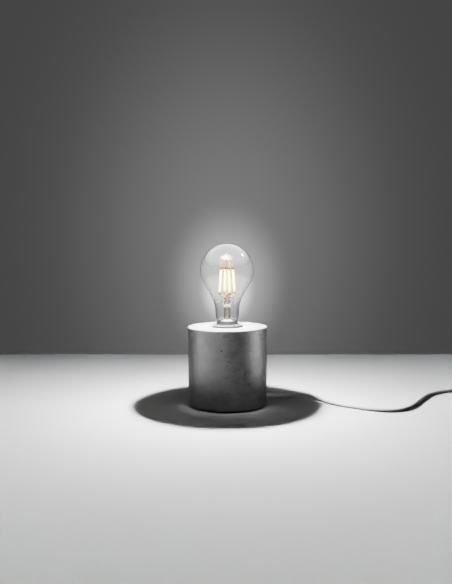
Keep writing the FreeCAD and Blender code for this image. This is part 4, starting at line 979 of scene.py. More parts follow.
def make_rim_screws():
    """Two small domed heads with a slot, on opposite sides of the rim."""
    dome = [(0.0, -SCREW_SUNK), (SCREW_HEAD, -SCREW_SUNK)]
    dome += [(SCREW_HEAD * across, SCREW_DOME * up) for across, up in DOME_SHARES]
    heads = []
    for more in (0.0, math.pi):
        slot = turn_about(square_bar(SLOT_SIZE, (0, 0, SCREW_DOME)), SLOT_TURN + more)
        head = carved(turned(dome, 40, closed=False), slot)
        angle = SCREW_TURN + more
        out = Vector((math.cos(angle), math.sin(angle), 0)) * SCREW_CIRCLE
        heads.append(moved(head, out + Vector((0, 0, HOLDER_TOP))))
    return finished(joined(heads), "rim_screw_heads", dull_nickel, "lamp", ["rim_screws"],
                    30.0)


screw_heads = make_rim_screws()
print("screw heads have", len(screw_heads.data.polygons), "faces")

# %% [markdown]
# Rolled threads
#
# The screw shell in the holder is rolled brass, and its thread is a smooth wave, 3.629 mm from
# crest to crest. The helper spins the wave once round while it climbs by one pitch, so that the
# end of the sweep meets its beginning one thread up. Then it trims the sheet flat at both ends
# and fades the wave out towards them. A modifier gives the sheet its thickness last.

# %% The rolled thread and the screw shell
PITCH = 3.629 * MM
WAVE_STEPS = 12
THREAD_STEPS = 96
THREAD_MERGE = 2e-6
SHELL_THREAD_DEPTH = 0.55 * MM
SHELL_WALL = 0.3 * MM


def rolled_thread(radius, depth, low, high):
    """A threaded sheet between two heights: crests at the radius, roots a depth inside it."""
    shape = bmesh.new()
    count = int((high - low) / PITCH + 3) * WAVE_STEPS
    start = low - 1.5 * PITCH
    points = []
    for i in range(count + 1):
        wave = 0.5 - 0.5 * math.cos(math.tau * i / WAVE_STEPS)
        point = (radius - depth * wave, 0.0, start + PITCH * i / WAVE_STEPS)
        points.append(shape.verts.new(point))
    edges = [shape.edges.new(pair) for pair in zip(points, points[1:])]
    bmesh.ops.spin(shape, geom=points + edges, cent=(0, 0, 0), axis=(0, 0, 1),
                   dvec=(0, 0, PITCH / THREAD_STEPS), angle=math.tau, steps=THREAD_STEPS)
    bmesh.ops.remove_doubles(shape, verts=shape.verts, dist=THREAD_MERGE)
    for height, way in ((low, -1), (high, 1)):
        geometry = shape.verts[:] + shape.edges[:] + shape.faces[:]
        bmesh.ops.bisect_plane(shape, geom=geometry, dist=MERGE_REACH, plane_co=(0, 0, height),
                               plane_no=(0, 0, way), clear_outer=True)
    for vertex in shape.verts:
        fade = min(1.0, (vertex.co.z - low) / PITCH, (high - vertex.co.z) / PITCH)
        current = vertex.co.xy.length
        wanted = radius - (radius - current) * max(0.0, fade)
        vertex.co.xy *= wanted / current
    bmesh.ops.recalc_face_normals(shape, faces=shape.faces)
    return shape


def make_screw_shell():
    outer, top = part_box("screw_shell")[1].x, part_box("screw_shell")[1].z
    shape = rolled_thread(outer - 0.1 * MM, SHELL_THREAD_DEPTH, WELL_FLOOR + MM, top)
    piece = finished(shape, "threaded_screw_shell", brass, "lamp", ["screw_shell"], 60.0)
    return walled(piece, SHELL_WALL)


screw_shell = make_screw_shell()
print("screw shell has", len(screw_shell.data.polygons), "faces")

# %% [markdown]
# The bulb's glass
#
# The envelope is blown, so it has no edge anywhere except where it is sealed into the cap. Its
# outline is a straight neck that draws in to the collar, a hollow throat, a round belly and a
# crown that is part of a ball. The throat and the belly are arcs, and the point where one passes
# into the other is worked out, so that the glass has no kink. The wall is thin, so it is a spun
# skin with a Solidify modifier. Lamps shine through it, as they do through real glass, so the
# skin casts no shadow of its own.

# %% The envelope
GLASS_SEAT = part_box("bulb_glass")[0].z
GLASS_WALL = 0.36 * MM
BALL_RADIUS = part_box("bulb_glass")[1].x
BALL_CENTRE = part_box("bulb_glass")[1].z - BALL_RADIUS
NECK_RADIUS = 15.0 * MM
NECK_HEIGHT = 12.5 * MM
THROAT_RADIUS = 44.0 * MM
BELLY_RADIUS = 28.0 * MM
# From the seat up to the neck: across from the neck's radius and up from the seat, in millimetres
NECK_FOOT = ((-4.0, 0.05), (-2.9, 0.2), (-2.5, 0.7), (-2.4, 1.6), (-2.3, 2.1), (-1.5, 3.1),
             (-1.0, 5.1), (-0.45, 7.7))
THROAT_STEPS, BELLY_STEPS, CROWN_STEPS = 26, 22, 34


def glass_outline():
    throat = Vector((NECK_RADIUS + THROAT_RADIUS, GLASS_SEAT + NECK_HEIGHT))
    belly = Vector((BALL_RADIUS - BELLY_RADIUS, BALL_CENTRE))
    gap = belly - throat
    lean = math.atan2(gap.y, gap.x)
    touch = lean + math.acos((THROAT_RADIUS + BELLY_RADIUS) / gap.length)
    low = arc(throat, THROAT_RADIUS, math.pi, touch, THROAT_STEPS)
    side = arc(belly, BELLY_RADIUS, touch - math.pi, 0.0, BELLY_STEPS)
    crown = arc((0.0, BALL_CENTRE), BALL_RADIUS, 0.0, math.pi / 2, CROWN_STEPS)
    crown[-1] = (0.0, crown[-1][1])
    return outline_at(NECK_FOOT, NECK_RADIUS, GLASS_SEAT) + low + side[1:] + crown[1:]


def make_envelope():
    shape = turned(glass_outline(), 160, closed=False)
    piece = finished(shape, "glass_envelope", clear_glass, "bulb", ["bulb_glass"],
                     180.0)
    piece.visible_shadow = False
    return walled(piece, GLASS_WALL)


envelope = make_envelope()
print("envelope has", len(envelope.data.polygons), "faces")

# %% [markdown]
# The stem
#
# The stem is a glass tube with a flared foot that is sealed into the neck. Its top is pinched
# flat round the wires while it is hot, and a thin rod rises from the pinch. It is spun round
# first, and then the points in the pinch are pressed together one way and out the other.

# %% The stem
STEM_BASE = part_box("bulb_stem")[0].z
STEM_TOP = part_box("bulb_stem")[1].z
PRESS_LOW = STEM_BASE + 21.6 * MM
PRESS_HIGH = PRESS_LOW + 8.0 * MM
ROD_RADIUS = 0.8 * MM
# Radius and height in millimetres: up the outside from the foot, the rod's tip counted from the
# top, and down the inside
STEM_OUTSIDE = ((11.0, 0.5), (11.0, 0.0), (8.6, 0.35), (6.0, 1.1), (4.7, 2.4), (4.1, 5.0),
                (4.1, 21.6), (3.69, 23.1), (2.542, 27.6), (0.96, 29.6), (0.8, 31.1))
STEM_TIP = ((0.8, -0.8), (0.56, -0.2), (0.0, 0.0))
STEM_INSIDE = ((0.0, 21.1), (3.6, 20.6), (3.6, 5.0), (4.2, 3.0), (6.0, 1.6), (8.6, 0.85))
LONG_EDGE = 1.2 * MM
PINCH_LOW = PRESS_LOW - 2.0 * MM
PINCH_LENGTH = (PRESS_HIGH - PRESS_LOW) / 1.15
PINCH_OUT = 0.42
PINCH_IN = 0.38


def make_stem():
    outside = outline_at(STEM_OUTSIDE, height=STEM_BASE)
    tip = outline_at(STEM_TIP, height=STEM_TOP)
    inside = outline_at(STEM_INSIDE, height=STEM_BASE)
    shape = turned(outside + tip + inside, 48)
    tall = [e for e in shape.edges if abs(e.verts[0].co.z - e.verts[1].co.z) > LONG_EDGE]
    bmesh.ops.subdivide_edges(shape, edges=tall, cuts=3, use_grid_fill=True)
    for vertex in shape.verts:
        share = (vertex.co.z - PINCH_LOW) / PINCH_LENGTH
        if 0 < share < 1:
            pinch = math.sin(math.pi * share) ** 2
            vertex.co.x *= 1 + PINCH_OUT * pinch
            vertex.co.y *= 1 - PINCH_IN * pinch
    piece = finished(shape, "glass_stem", stem_glass, "bulb", ["bulb_stem"], 180.0)
    piece.visible_shadow = False
    return piece


stem = make_stem()
print("stem from", round(STEM_BASE, 4), "to", round(STEM_TOP, 4), "m")

# %% [markdown]
# The lit rods
#
# Four rods stand round the stem, closer together at the top than at the bottom. Each is a strip
# of small chips in a yellow coating, with a metal tab at both ends. It is modelled as a bright
# core in a thin glowing coat, and the tabs are short turned plugs. Every part is made upright and
# then laid along the rod's own leaning line.

# %% The lit rods
ROD_TURN = math.radians(18.0)
LOW_CIRCLE = 10.0 * MM
HIGH_CIRCLE = 7.6 * MM
ROD_LOW = GLASS_SEAT + 37.5 * MM
ROD_LENGTH = 29.5 * MM
COAT_RADIUS = 1.65 * MM
COAT_END = 0.5 * MM
CORE_RADIUS = 1.05 * MM
CORE_END = 0.3 * MM
CORE_START = 2.6 * MM
CORE_STOP = ROD_LENGTH - 1.3 * MM
LOW_TAB = 0.6 * MM
HIGH_TAB = 2.1 * MM
TAB_POINT = 1.3 * MM


def rod_ends(count):
    angle = ROD_TURN + math.pi / 2 * count
    out = Vector((math.cos(angle), math.sin(angle), 0))
    rise = math.sqrt(ROD_LENGTH ** 2 - (LOW_CIRCLE - HIGH_CIRCLE) ** 2)
    low = out * LOW_CIRCLE + Vector((0, 0, ROD_LOW))
    return low, out * HIGH_CIRCLE + Vector((0, 0, ROD_LOW + rise))


def rod_core_shape():
    return turned([(0.0, CORE_START), (CORE_RADIUS, CORE_START + CORE_END),
                   (CORE_RADIUS, CORE_STOP - CORE_END), (0.0, CORE_STOP)], 20, closed=False)


def rod_coat_shape():
    mouth = CORE_RADIUS * 1.1
    return turned([(mouth, 0.0), (COAT_RADIUS, COAT_END), (COAT_RADIUS, ROD_LENGTH - COAT_END),
                   (mouth, ROD_LENGTH)], 28)


def rod_tab_shape(full):
    """A short plug that narrows to a pin. It is full as far as the given length."""
    return turned([(0.0, -0.5 * MM), (1.6 * MM, -0.4 * MM), (1.62 * MM, full),
                   (1.0 * MM, full + 0.9 * MM), (0.6 * MM, full + TAB_POINT),
                   (0.0, full + TAB_POINT)], 20, closed=False)


def make_rod(count):
    low, high = rod_ends(count)
    along = (high - low).normalized()
    number = count + 1
    core = finished(lay_along(rod_core_shape(), low, along), f"rod_core_{number}", rod_core,
                    "bulb", [f"filament_{number}"], 60.0)
    coat = finished(lay_along(rod_coat_shape(), low, along), f"rod_coat_{number}", rod_coat,
                    "bulb", (), 60.0)
    plugs = [lay_along(rod_tab_shape(LOW_TAB), low, -along),
             lay_along(rod_tab_shape(HIGH_TAB), high, along)]
    tabs = finished(joined(plugs), f"rod_tabs_{number}", burnt_tab, "bulb", (), 40.0)
    for piece in (core, coat, tabs):
        piece.visible_shadow = False
    return core, coat, tabs


rods = [make_rod(count) for count in range(4)]
print("lit rods:", len(rods))

# %% [markdown]
# The wires that hold the rods
#
# Each rod's upper end hangs from a wire that bends over to the thin glass rod in the middle. Its
# lower end stands on a thick lead that leaves the pinch and bows outwards. The leads are welded
# to thinner wire above the pinch. Those welds are small dark lumps, modelled first as rough
# balls, because they only need the height of the pinch.

# %% The welds on the leads
# Across and forward of the middle, height above the pinch and radius, in millimetres
WELDS = ((-2.6, -0.6, 0.2, 1.15), (2.6, -0.5, 1.0, 1.15), (-1.2, -0.8, 2.6, 1.05),
         (1.1, -0.9, 4.1, 1.1), (3.4, 0.4, 4.2, 0.95), (-3.3, 0.3, 4.9, 0.95),
         (0.2, -1.0, -0.6, 1.0))
WELD_SHAPE = (1.0, 0.8, 1.35)


def make_welds():
    lumps = []
    for across, forward, height, radius in WELDS:
        lump = rough_ball(radius * MM, 0.4, 1.6, (across, 0, height))
        bmesh.ops.scale(lump, vec=WELD_SHAPE, verts=lump.verts)
        lumps.append(moved(lump, (across * MM, forward * MM, PRESS_HIGH + height * MM)))
    piece = finished(joined(lumps), "lead_weld_knots", burnt_tab, "bulb", (), 60.0)
    piece.visible_shadow = False
    return piece


welds = make_welds()
print("welds:", len(WELDS))

# %% The wires that hold the rods
WIRE_RADIUS = 0.7 * MM
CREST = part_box("top_supports")[1].z - WIRE_RADIUS
CREST_STEP = 1.1 * MM
SHOULDER_CIRCLE = HIGH_CIRCLE - 2.6 * MM
TAB_HOLD = 1.56 * MM
LEAD_ACROSS = 2.6 * MM
LEAD_FORWARD = 0.5 * MM


def upright(height):
    return Vector((0, 0, height))


def upper_routes():
    """Hooks from the rods' upper ends, over a shoulder, to the glass rod in the middle."""
    routes = []
    for count in range(4):
        low, high = rod_ends(count)
        tip = high + (high - low).normalized() * TAB_HOLD
        over_tip = Vector((tip.x, tip.y, 0))
        out = over_tip.normalized()
        level = CREST - CREST_STEP * (count % 2)
        shoulder = out * SHOULDER_CIRCLE
        bend = (shoulder + over_tip) / 2 + upright(tip.z + (level - tip.z) * 0.35)
        routes.append([tip, bend, shoulder + upright(level - 2.2 * MM),
                       shoulder * 0.75 + upright(level), out * ROD_RADIUS * 0.5 + upright(level)])
    return routes


def lower_routes():
    """Leads that leave the flat glass pinch in pairs and bow outwards to the rods' feet."""
    routes = []
    for count in range(4):
        low, high = rod_ends(count)
        foot = low - (high - low).normalized() * TAB_HOLD
        across = math.copysign(LEAD_ACROSS, foot.x)
        forward = math.copysign(LEAD_FORWARD, foot.y)
        start = Vector((across, forward, PRESS_HIGH - 3.0 * MM))
        top = Vector((across, forward, PRESS_HIGH + 1.0 * MM))
        bow = Vector((foot.x * 0.92, foot.y * 0.92, (foot.z + PRESS_HIGH) / 2 + 0.4 * MM))
        routes.append([start, top, bow, foot + upright(0.6 * MM)])
    return routes


def holding_wires(name, routes, replaced):
    piece = round_line(name, routes, WIRE_RADIUS, copper_toned_wire, "bulb", smoothness=8,
                       sides=3)
    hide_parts(replaced)
    piece.visible_shadow = False
    return piece


upper_wires = holding_wires("upper_support_wires", upper_routes(), "top_supports")
lower_wires = holding_wires("lower_lead_wires", lower_routes(), "lower_leads")
print("wires made:", upper_wires.name, lower_wires.name)

# %% [markdown]
# The bulb's cap
#
# The cap is thin rolled metal with the same wave as the holder's shell, and a turned cone closes
# it below. Above the thread it has a plain skirt, drawn in to a collar round the neck of the
# glass, and the cement that holds the glass fills what is left between them. The skirt is a piece
# of its own, because it and the cement are painted near black as shade under the glass and the
# thread is not.

# %% The cap
CAP_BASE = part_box("bulb_cap")[0].z
CAP_RADIUS = 13.2 * MM
CAP_THREAD_DEPTH = 0.5 * MM
SKIRT_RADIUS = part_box("bulb_cap")[1].x
SKIRT_LOW = GLASS_SEAT - 4.0 * MM
COLLAR_RADIUS = 13.1 * MM
COLLAR_TOP = GLASS_SEAT + 2.1 * MM
# Radius from the cap's own and height above its base, in millimetres
CAP_CONE = ((0.0, 1.62), (-0.6, 0.7), (-2.8, 0.05), (-2.8, 0.4), (-0.9, 1.0), (-0.35, 1.62))


def skirt_outline():
    return [
        (CAP_RADIUS - 0.1 * MM, SKIRT_LOW - 0.02 * MM),
        (CAP_RADIUS + 0.2 * MM, SKIRT_LOW + 0.4 * MM),
        (SKIRT_RADIUS - 0.1 * MM, SKIRT_LOW + 1.2 * MM),
        (SKIRT_RADIUS, SKIRT_LOW + 1.8 * MM),
        (SKIRT_RADIUS, GLASS_SEAT - 1.6 * MM),
        (SKIRT_RADIUS - 0.2 * MM, GLASS_SEAT - 1.1 * MM),
        (COLLAR_RADIUS, GLASS_SEAT - 0.7 * MM),
        (COLLAR_RADIUS, COLLAR_TOP - 0.2 * MM),
        (COLLAR_RADIUS - 0.12 * MM, COLLAR_TOP),
        (COLLAR_RADIUS - 0.3 * MM, COLLAR_TOP - 0.1 * MM),
        (COLLAR_RADIUS - 0.3 * MM, GLASS_SEAT - 1.0 * MM),
        (SKIRT_RADIUS - 0.4 * MM, SKIRT_LOW + 1.8 * MM),
        (CAP_RADIUS - 0.5 * MM, SKIRT_LOW),
    ]


def make_cap():
    thread = rolled_thread(CAP_RADIUS, CAP_THREAD_DEPTH, CAP_BASE + 1.6 * MM, SKIRT_LOW)
    cone = turned(outline_at(CAP_CONE, CAP_RADIUS, CAP_BASE), 96)
    return finished(joined([thread, cone]), "threaded_cap", cap_metal, "bulb", ["bulb_cap"],
                    50.0)


def make_cement():
    """The cement that fills the skirt round the neck of the glass, coloured dark as painted shade.
    """
    outer = COLLAR_RADIUS - 0.4 * MM
    ring = turned([
        (9.0 * MM, GLASS_SEAT - 1.2 * MM), (outer, GLASS_SEAT - 1.2 * MM),
        (outer, GLASS_SEAT - 0.25 * MM), (11.5 * MM, GLASS_SEAT - 0.1 * MM),
        (9.0 * MM, GLASS_SEAT - 0.4 * MM),
    ], 64)
    return finished(ring, "cap_cement_ring", cement, "bulb", (), 50.0)


cap_skirt = finished(turned(skirt_outline(), 96), "cap_skirt", dark_skirt, "bulb", (),
                     50.0)
cap = make_cap()
cement_ring = make_cement()
print("cap has", len(cap.data.polygons), "faces")

# %% [markdown]
# Where the cord leaves
#
# A moulded sleeve keeps the cord from kinking at the hole. It tapers towards the cord and has a
# few soft grooves, so that it bends evenly. It is turned on the upright axis, where its outline
# is easy to read, and then laid along the cord.

# %% The sleeve
SLEEVE_START = 21.5 * MM
SLEEVE_REACH = 12.0 * MM
SLEEVE_RADIUS = 4.0 * MM
SLEEVE_TIP = 3.2 * MM
SLEEVE_GROOVES = 4
STEPS_PER_GROOVE = 4
GROOVE_STEP = 2
GROOVE_DEPTH = 0.16 * MM


def make_sleeve():
    bore = CORD_RADIUS + 0.05 * MM
    outline = [(bore, 0.0), (SLEEVE_RADIUS, 0.0), (SLEEVE_RADIUS, SLEEVE_START)]
    steps = SLEEVE_GROOVES * STEPS_PER_GROOVE
    for step in range(steps):
        share = (step + 1) / steps
        radius = SLEEVE_RADIUS + (SLEEVE_TIP - SLEEVE_RADIUS) * share
        if step % STEPS_PER_GROOVE == GROOVE_STEP:
            radius -= GROOVE_DEPTH
        outline.append((radius, SLEEVE_START + SLEEVE_REACH * share))
    outline.append((bore, SLEEVE_START + SLEEVE_REACH))
    shape = soften(turned(outline, 48), 0.12 * MM, 2, 0.35)
    lay_along(shape, ENTRY_FACE - ENTRY_DIRECTION * SLEEVE_START, ENTRY_DIRECTION)
    return finished(shape, "cord_sleeve", cord_sheath, "lamp", ["strain_relief"],
                    50.0)


sleeve = make_sleeve()
print("sleeve is", round((SLEEVE_START + SLEEVE_REACH) / MM, 1), "mm long")

# %% [markdown]
# The switch
#
# The switch lies beyond the picture's edge but is part of the lamp. It is two moulded shells that
# narrow smoothly to the cord at both ends, with a rocker between them and two screws below. The
# outline is drawn flat and pushed out, because a shell that is wide in the middle and narrow at
# its ends can't be turned. The rocker is a body of its own, so its opening leaves room round it.

# %% The switch's shells
SWITCH_LOW, SWITCH_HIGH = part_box("switch_lower")
SWITCH_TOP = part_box("switch_upper")[1].z
SWITCH_HALF = SWITCH_TOP / 2
SWITCH_LENGTH = SWITCH_HIGH.x - SWITCH_LOW.x
SWITCH_WIDTH = SWITCH_HIGH.y - SWITCH_LOW.y
SWITCH_MIDDLE = Vector(((SWITCH_LOW.x + SWITCH_HIGH.x) / 2, (SWITCH_LOW.y + SWITCH_HIGH.y) / 2, 0))
SWITCH_END_WIDTH = 11.0 * MM
SWITCH_END_LENGTH = 17.0 * MM
SWITCH_STATIONS = 40
SWITCH_ROUND = 2.6 * MM
SEAM = 0.25 * MM
ROCKER_LENGTH = 19.0 * MM
ROCKER_WIDTH = 11.0 * MM
ROCKER_ROOM = 1.0 * MM
SWITCH_SCREW_ALONG = 21.0 * MM


def switch_half_width(along):
    """Half the switch's width at a distance from its middle."""
    past = abs(along) - SWITCH_LENGTH / 2 + SWITCH_END_LENGTH
    share = min(1.0, max(0.0, past / SWITCH_END_LENGTH))
    ease = share * share * (3 - 2 * share)
    return (SWITCH_WIDTH + (SWITCH_END_WIDTH - SWITCH_WIDTH) * ease) / 2


def switch_shell(low, high, round_top):
    """A closed shell between two heights, with its outer rim well rounded."""
    stations = [SWITCH_LENGTH * (i / SWITCH_STATIONS - 0.5) for i in range(SWITCH_STATIONS + 1)]
    rim = [(x, -switch_half_width(x), low) for x in stations]
    rim += [(x, switch_half_width(x), low) for x in reversed(stations)]
    shape = pushed_out(rim, (0, 0, high - low))
    level = high if round_top else low
    soften(shape, SWITCH_ROUND, 6,
           where=lambda edge: all(abs(v.co.z - level) < MERGE_REACH for v in edge.verts))
    soften(shape, 0.3 * MM, 2, 0.9)
    return moved(shape, SWITCH_MIDDLE)


def switch_cord_hole():
    hole = round_bar(CORD_RADIUS + 0.2 * MM, SWITCH_LENGTH + 4 * MM)
    start = SWITCH_MIDDLE + Vector((-SWITCH_LENGTH / 2 - 2 * MM, 0, SWITCH_HALF))
    return lay_along(hole, start, (1, 0, 0))


def switch_screw_place(way, height):
    """The place of a screw: they stand at both ends, on opposite sides."""
    return SWITCH_MIDDLE + Vector((SWITCH_SCREW_ALONG * way, SWITCH_END_WIDTH / 2 * way, height))


def make_switch():
    wells = [moved(round_bar(2.1 * MM, 2.4 * MM, 24), switch_screw_place(way, -0.4 * MM))
             for way in (1, -1)]
    lower = carved(switch_shell(0.05 * MM, SWITCH_HALF - SEAM / 2, False), switch_cord_hole(),
                   joined(wells))
    opening = square_bar((ROCKER_LENGTH + ROCKER_ROOM, ROCKER_WIDTH + ROCKER_ROOM, SWITCH_TOP),
                         SWITCH_MIDDLE + Vector((0, 0, SWITCH_TOP)))
    upper = carved(switch_shell(SWITCH_HALF + SEAM / 2, SWITCH_TOP, True), switch_cord_hole(),
                   opening)
    return (finished(lower, "switch_case_lower", switch_plastic, "lamp", ["switch_lower"]),
            finished(upper, "switch_case_upper", switch_plastic, "lamp", ["switch_upper"]))


switch_lower, switch_upper = make_switch()
print("switch is", round(SWITCH_LENGTH / MM, 1), "mm long")

# %% The switch's screws and rocker
CROSS_LONG, CROSS_WIDE, CROSS_DEEP = 3.0 * MM, 0.5 * MM, 1.2 * MM
SWITCH_SCREW_DOME = ((0.0, 0.0), (1.9, 0.0), (1.9, 0.6), (1.4, 1.0), (0.0, 1.1))
ROCKER_STEPS = 24
ROCKER_CREST = 4.75 * MM
ROCKER_DIP = 1.35 * MM
ROCKER_CORNER = -0.4 * MM
ROCKER_BELLY = -2.9 * MM
PIVOT_DEPTH = 2.2 * MM
ROCKER_REST = math.radians(8.0)


def make_switch_screws():
    heads = []
    for way in (1, -1):
        dome = turned(outline_at(SWITCH_SCREW_DOME), 32, closed=False)
        head = carved(dome, square_bar((CROSS_LONG, CROSS_WIDE, CROSS_DEEP), (0, 0, MM)),
                      square_bar((CROSS_WIDE, CROSS_LONG, CROSS_DEEP), (0, 0, MM)))
        turn_about(head, 0.5 * way)
        heads.append(moved(head, switch_screw_place(way, 0.8 * MM)))
    return finished(joined(heads), "switch_screw_heads", zinc_steel, "lamp", ["switch_screws"],
                    30.0)


def make_rocker():
    """The rocker: a bar with a shallow dip on top, soft edges and a round mark at one end."""
    half = ROCKER_LENGTH / 2
    outline = []
    for i in range(ROCKER_STEPS + 1):
        x = -half + ROCKER_LENGTH * i / ROCKER_STEPS
        outline.append((x, ROCKER_CREST - ROCKER_DIP * (1 - (abs(x) / half) ** 1.6)))
    outline += [(half, ROCKER_CORNER), (half / 2, ROCKER_BELLY), (-half / 2, ROCKER_BELLY),
                (-half, ROCKER_CORNER)]
    shape = pushed_out([(x, -ROCKER_WIDTH / 2, z) for x, z in outline], (0, ROCKER_WIDTH, 0))
    soften(shape, 0.55 * MM, 4, 0.7)
    mark = moved(round_bar(1.3 * MM, 3 * MM), (half * 0.62, 0, ROCKER_CREST - MM))
    shape = carved(shape, mark)
    turn_about(shape, ROCKER_REST, "Y")
    moved(shape, (SWITCH_MIDDLE.x, SWITCH_MIDDLE.y, SWITCH_TOP - PIVOT_DEPTH))
    return finished(shape, "rocker_button", switch_plastic, "rocker", ["switch_rocker"])


switch_heads = make_switch_screws()
rocker = make_rocker()
print("switch screws and rocker made")

# %% [markdown]
# The tie round the coil
#
# A flat band holds the wound length together. Its corners follow the bundle, so it is drawn as
# four short arcs, one at each corner, pushed out to the band's width and given a thickness.

# %% The tie round the coil
TIE_LOW, TIE_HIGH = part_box("cord_tie")
TIE_BEND = 3.1 * MM
TIE_THICKNESS = 0.65 * MM


def make_tie():
    shape = bmesh.new()
    middle = (TIE_LOW + TIE_HIGH) / 2
    half = (TIE_HIGH - TIE_LOW) / 2
    rim = []
    for corner, (sx, sz) in enumerate(((1, 1), (-1, 1), (-1, -1), (1, -1))):
        centre = (middle.x + sx * (half.x - TIE_BEND), middle.z + sz * (half.z - TIE_BEND))
        first = math.pi / 2 * corner
        rim += arc(centre, TIE_BEND, first, first + math.pi / 2, 6)
    points = [shape.verts.new((x, TIE_LOW.y, z)) for x, z in rim]
    edges = [shape.edges.new(pair) for pair in zip(points, points[1:] + points[:1])]
    band = bmesh.ops.extrude_edge_only(shape, edges=edges)
    fresh = [v for v in band["geom"] if isinstance(v, bmesh.types.BMVert)]
    bmesh.ops.translate(shape, vec=(0, TIE_HIGH.y - TIE_LOW.y, 0), verts=fresh)
    bmesh.ops.recalc_face_normals(shape, faces=shape.faces)
    bmesh.ops.solidify(shape, geom=shape.faces[:], thickness=TIE_THICKNESS)
    return finished(shape, "coil_tie", tie_plastic, "lamp", ["cord_tie"])


tie = make_tie()
print("tie is", round((TIE_HIGH.y - TIE_LOW.y) / MM, 1), "mm wide")

# %% [markdown]
# The plug
#
# The plug is moulded round the end of the cord. Its body passes from a small round to a flat,
# nearly square oval, so it is drawn ring by ring. The power in the ring's formula goes from 2,
# which is an ellipse, to a little over 3, which is squarer. Grip grooves are cut across it. The
# tail behind it is drawn the same way along the line of the cord, and the pins are turned.

# %% The plug's body and tail
PLUG_LOW, PLUG_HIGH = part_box("plug_body")
PLUG_AXIS = Vector(((PLUG_LOW.x + PLUG_HIGH.x) / 2, PLUG_HIGH.y, (PLUG_LOW.z + PLUG_HIGH.z) / 2))
PLUG_LENGTH = PLUG_HIGH.y - PLUG_LOW.y
# Along the plug's body: share of its length, half width and half height in millimetres
PLUG_STATIONS = (
    (0.0, 5.4, 5.0), (0.03, 6.2, 5.7), (0.10, 6.9, 6.2), (0.22, 7.9, 6.6), (0.36, 9.4, 6.85),
    (0.52, 11.2, 6.95), (0.68, 12.5, 6.95), (0.82, 12.95, 6.95), (0.95, 12.95, 6.9),
    (0.985, 12.6, 6.5), (1.0, 11.8, 5.8),
)
PLUG_SQUARENESS = 3.2
PLUG_POINTS = 48
GRIP_GROOVES = 5
GRIP_START = 0.30
GRIP_STEP = 0.085
GRIP_SIZE = (13.0 * MM, 0.9 * MM, 1.4 * MM)
GRIP_HEIGHT = 7.15 * MM
RELIEF_LOW, RELIEF_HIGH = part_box("plug_relief")
TAIL_STEPS = 32
TAIL_POINTS = 32
TAIL_RADIUS = 2.9
TAIL_GROWTH = 1.9
TAIL_GROOVE = 0.45 * MM


def plug_ring(share, wide, high):
    power = 2 + (PLUG_SQUARENESS - 2) * min(1.0, share * 3)
    ring = []
    for i in range(PLUG_POINTS):
        c, s = math.cos(math.tau * i / PLUG_POINTS), math.sin(math.tau * i / PLUG_POINTS)
        x = math.copysign(abs(c) ** (2 / power), c) * wide * MM
        z = math.copysign(abs(s) ** (2 / power), s) * high * MM
        ring.append(PLUG_AXIS + Vector((x, -PLUG_LENGTH * share, z)))
    return ring


def make_plug():
    """Rings from a small round to a flat oval, joined one after another."""
    shape = drawn([plug_ring(*station) for station in PLUG_STATIONS])
    grooves = []
    for i in range(GRIP_GROOVES):
        y = PLUG_AXIS.y - PLUG_LENGTH * (GRIP_START + GRIP_STEP * i)
        for side in (1, -1):
            middle = (PLUG_AXIS.x, y, PLUG_AXIS.z + side * GRIP_HEIGHT)
            grooves.append(square_bar(GRIP_SIZE, middle))
    shape = carved(shape, joined(grooves))
    return finished(shape, "plug_grip", plug_plastic, "lamp", ["plug_body"])


def make_plug_tail():
    """The moulded tail of the plug: it grows towards the body and follows the cord's line."""
    start = Vector((PLUG_AXIS.x, RELIEF_HIGH.y, CORD_RADIUS + 0.8 * MM + COIL_PITCH * MM))
    end = Vector((PLUG_AXIS.x, RELIEF_LOW.y, PLUG_AXIS.z))
    around = [Vector((math.cos(a), 0, math.sin(a)))
              for a in (math.tau * k / TAIL_POINTS for k in range(TAIL_POINTS))]
    rings = []
    for i in range(TAIL_STEPS + 1):
        share = i / TAIL_STEPS
        radius = (TAIL_RADIUS + TAIL_GROWTH * share) * MM
        if 0.1 < share < 0.95 and i % 5 in (2, 3):
            radius -= TAIL_GROOVE
        centre = start + (end - start) * share
        rings.append([centre + way * radius for way in around])
    return finished(drawn(rings), "plug_tail", plug_plastic, "lamp", ["plug_relief"])


plug_body = make_plug()
plug_tail = make_plug_tail()
print("plug body and tail made")

# %% The plug's pins
PIN_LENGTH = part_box("plug_pins")[1].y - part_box("plug_pins")[0].y
PIN_SPACING = 18.6 * MM
PIN_TIP = ((0.0, 9.0), (1.95, 9.0))
# Counted from the tip of the pin
PIN_END = ((1.98, -1.2), (1.7, -0.5), (1.1, -0.1), (0.0, 0.0))
PIN_COVER = ((0.0, -0.4), (2.3, -0.4), (2.3, 0.3), (1.88, 0.6), (1.86, 9.8), (0.0, 10.0))


def make_pins():
    """Two metal pins, each with a black cover over the half next to the plug."""
    tips, covers = [], []
    for side in (1, -1):
        root = Vector((PLUG_AXIS.x + side * PIN_SPACING / 2, PLUG_LOW.y, PLUG_AXIS.z))
        tip = turned(outline_at(PIN_TIP) + outline_at(PIN_END, height=PIN_LENGTH), 32,
                     closed=False)
        tips.append(lay_along(tip, root, (0, -1, 0)))
        cover = turned(outline_at(PIN_COVER), 32, closed=False)
        covers.append(lay_along(cover, root, (0, -1, 0)))
    return (finished(joined(tips), "plug_pin_tips", nickel, "lamp", ["plug_pins"], 40.0),
            finished(joined(covers), "plug_pin_covers", black_plastic, "lamp", (),
                     40.0))


pins, pin_covers = make_pins()
print("pins are", round(PIN_LENGTH / MM, 1), "mm long")

# %% [markdown]
# What the cords are
# Nothing is declared to the frame here: the cords are only the two splines made above. A table
# lamp's cord is usually 1.8 m long from the lamp to the plug.

# %% The cords
print("the cords are the two splines made above")

# %% [markdown]
# The table top
#
# The table is a plain pale top whose far edge stands where the picture has it. One flat sheet is
# enough. It turns slowly darker towards the back, as the light of a small lamp does not reach far.

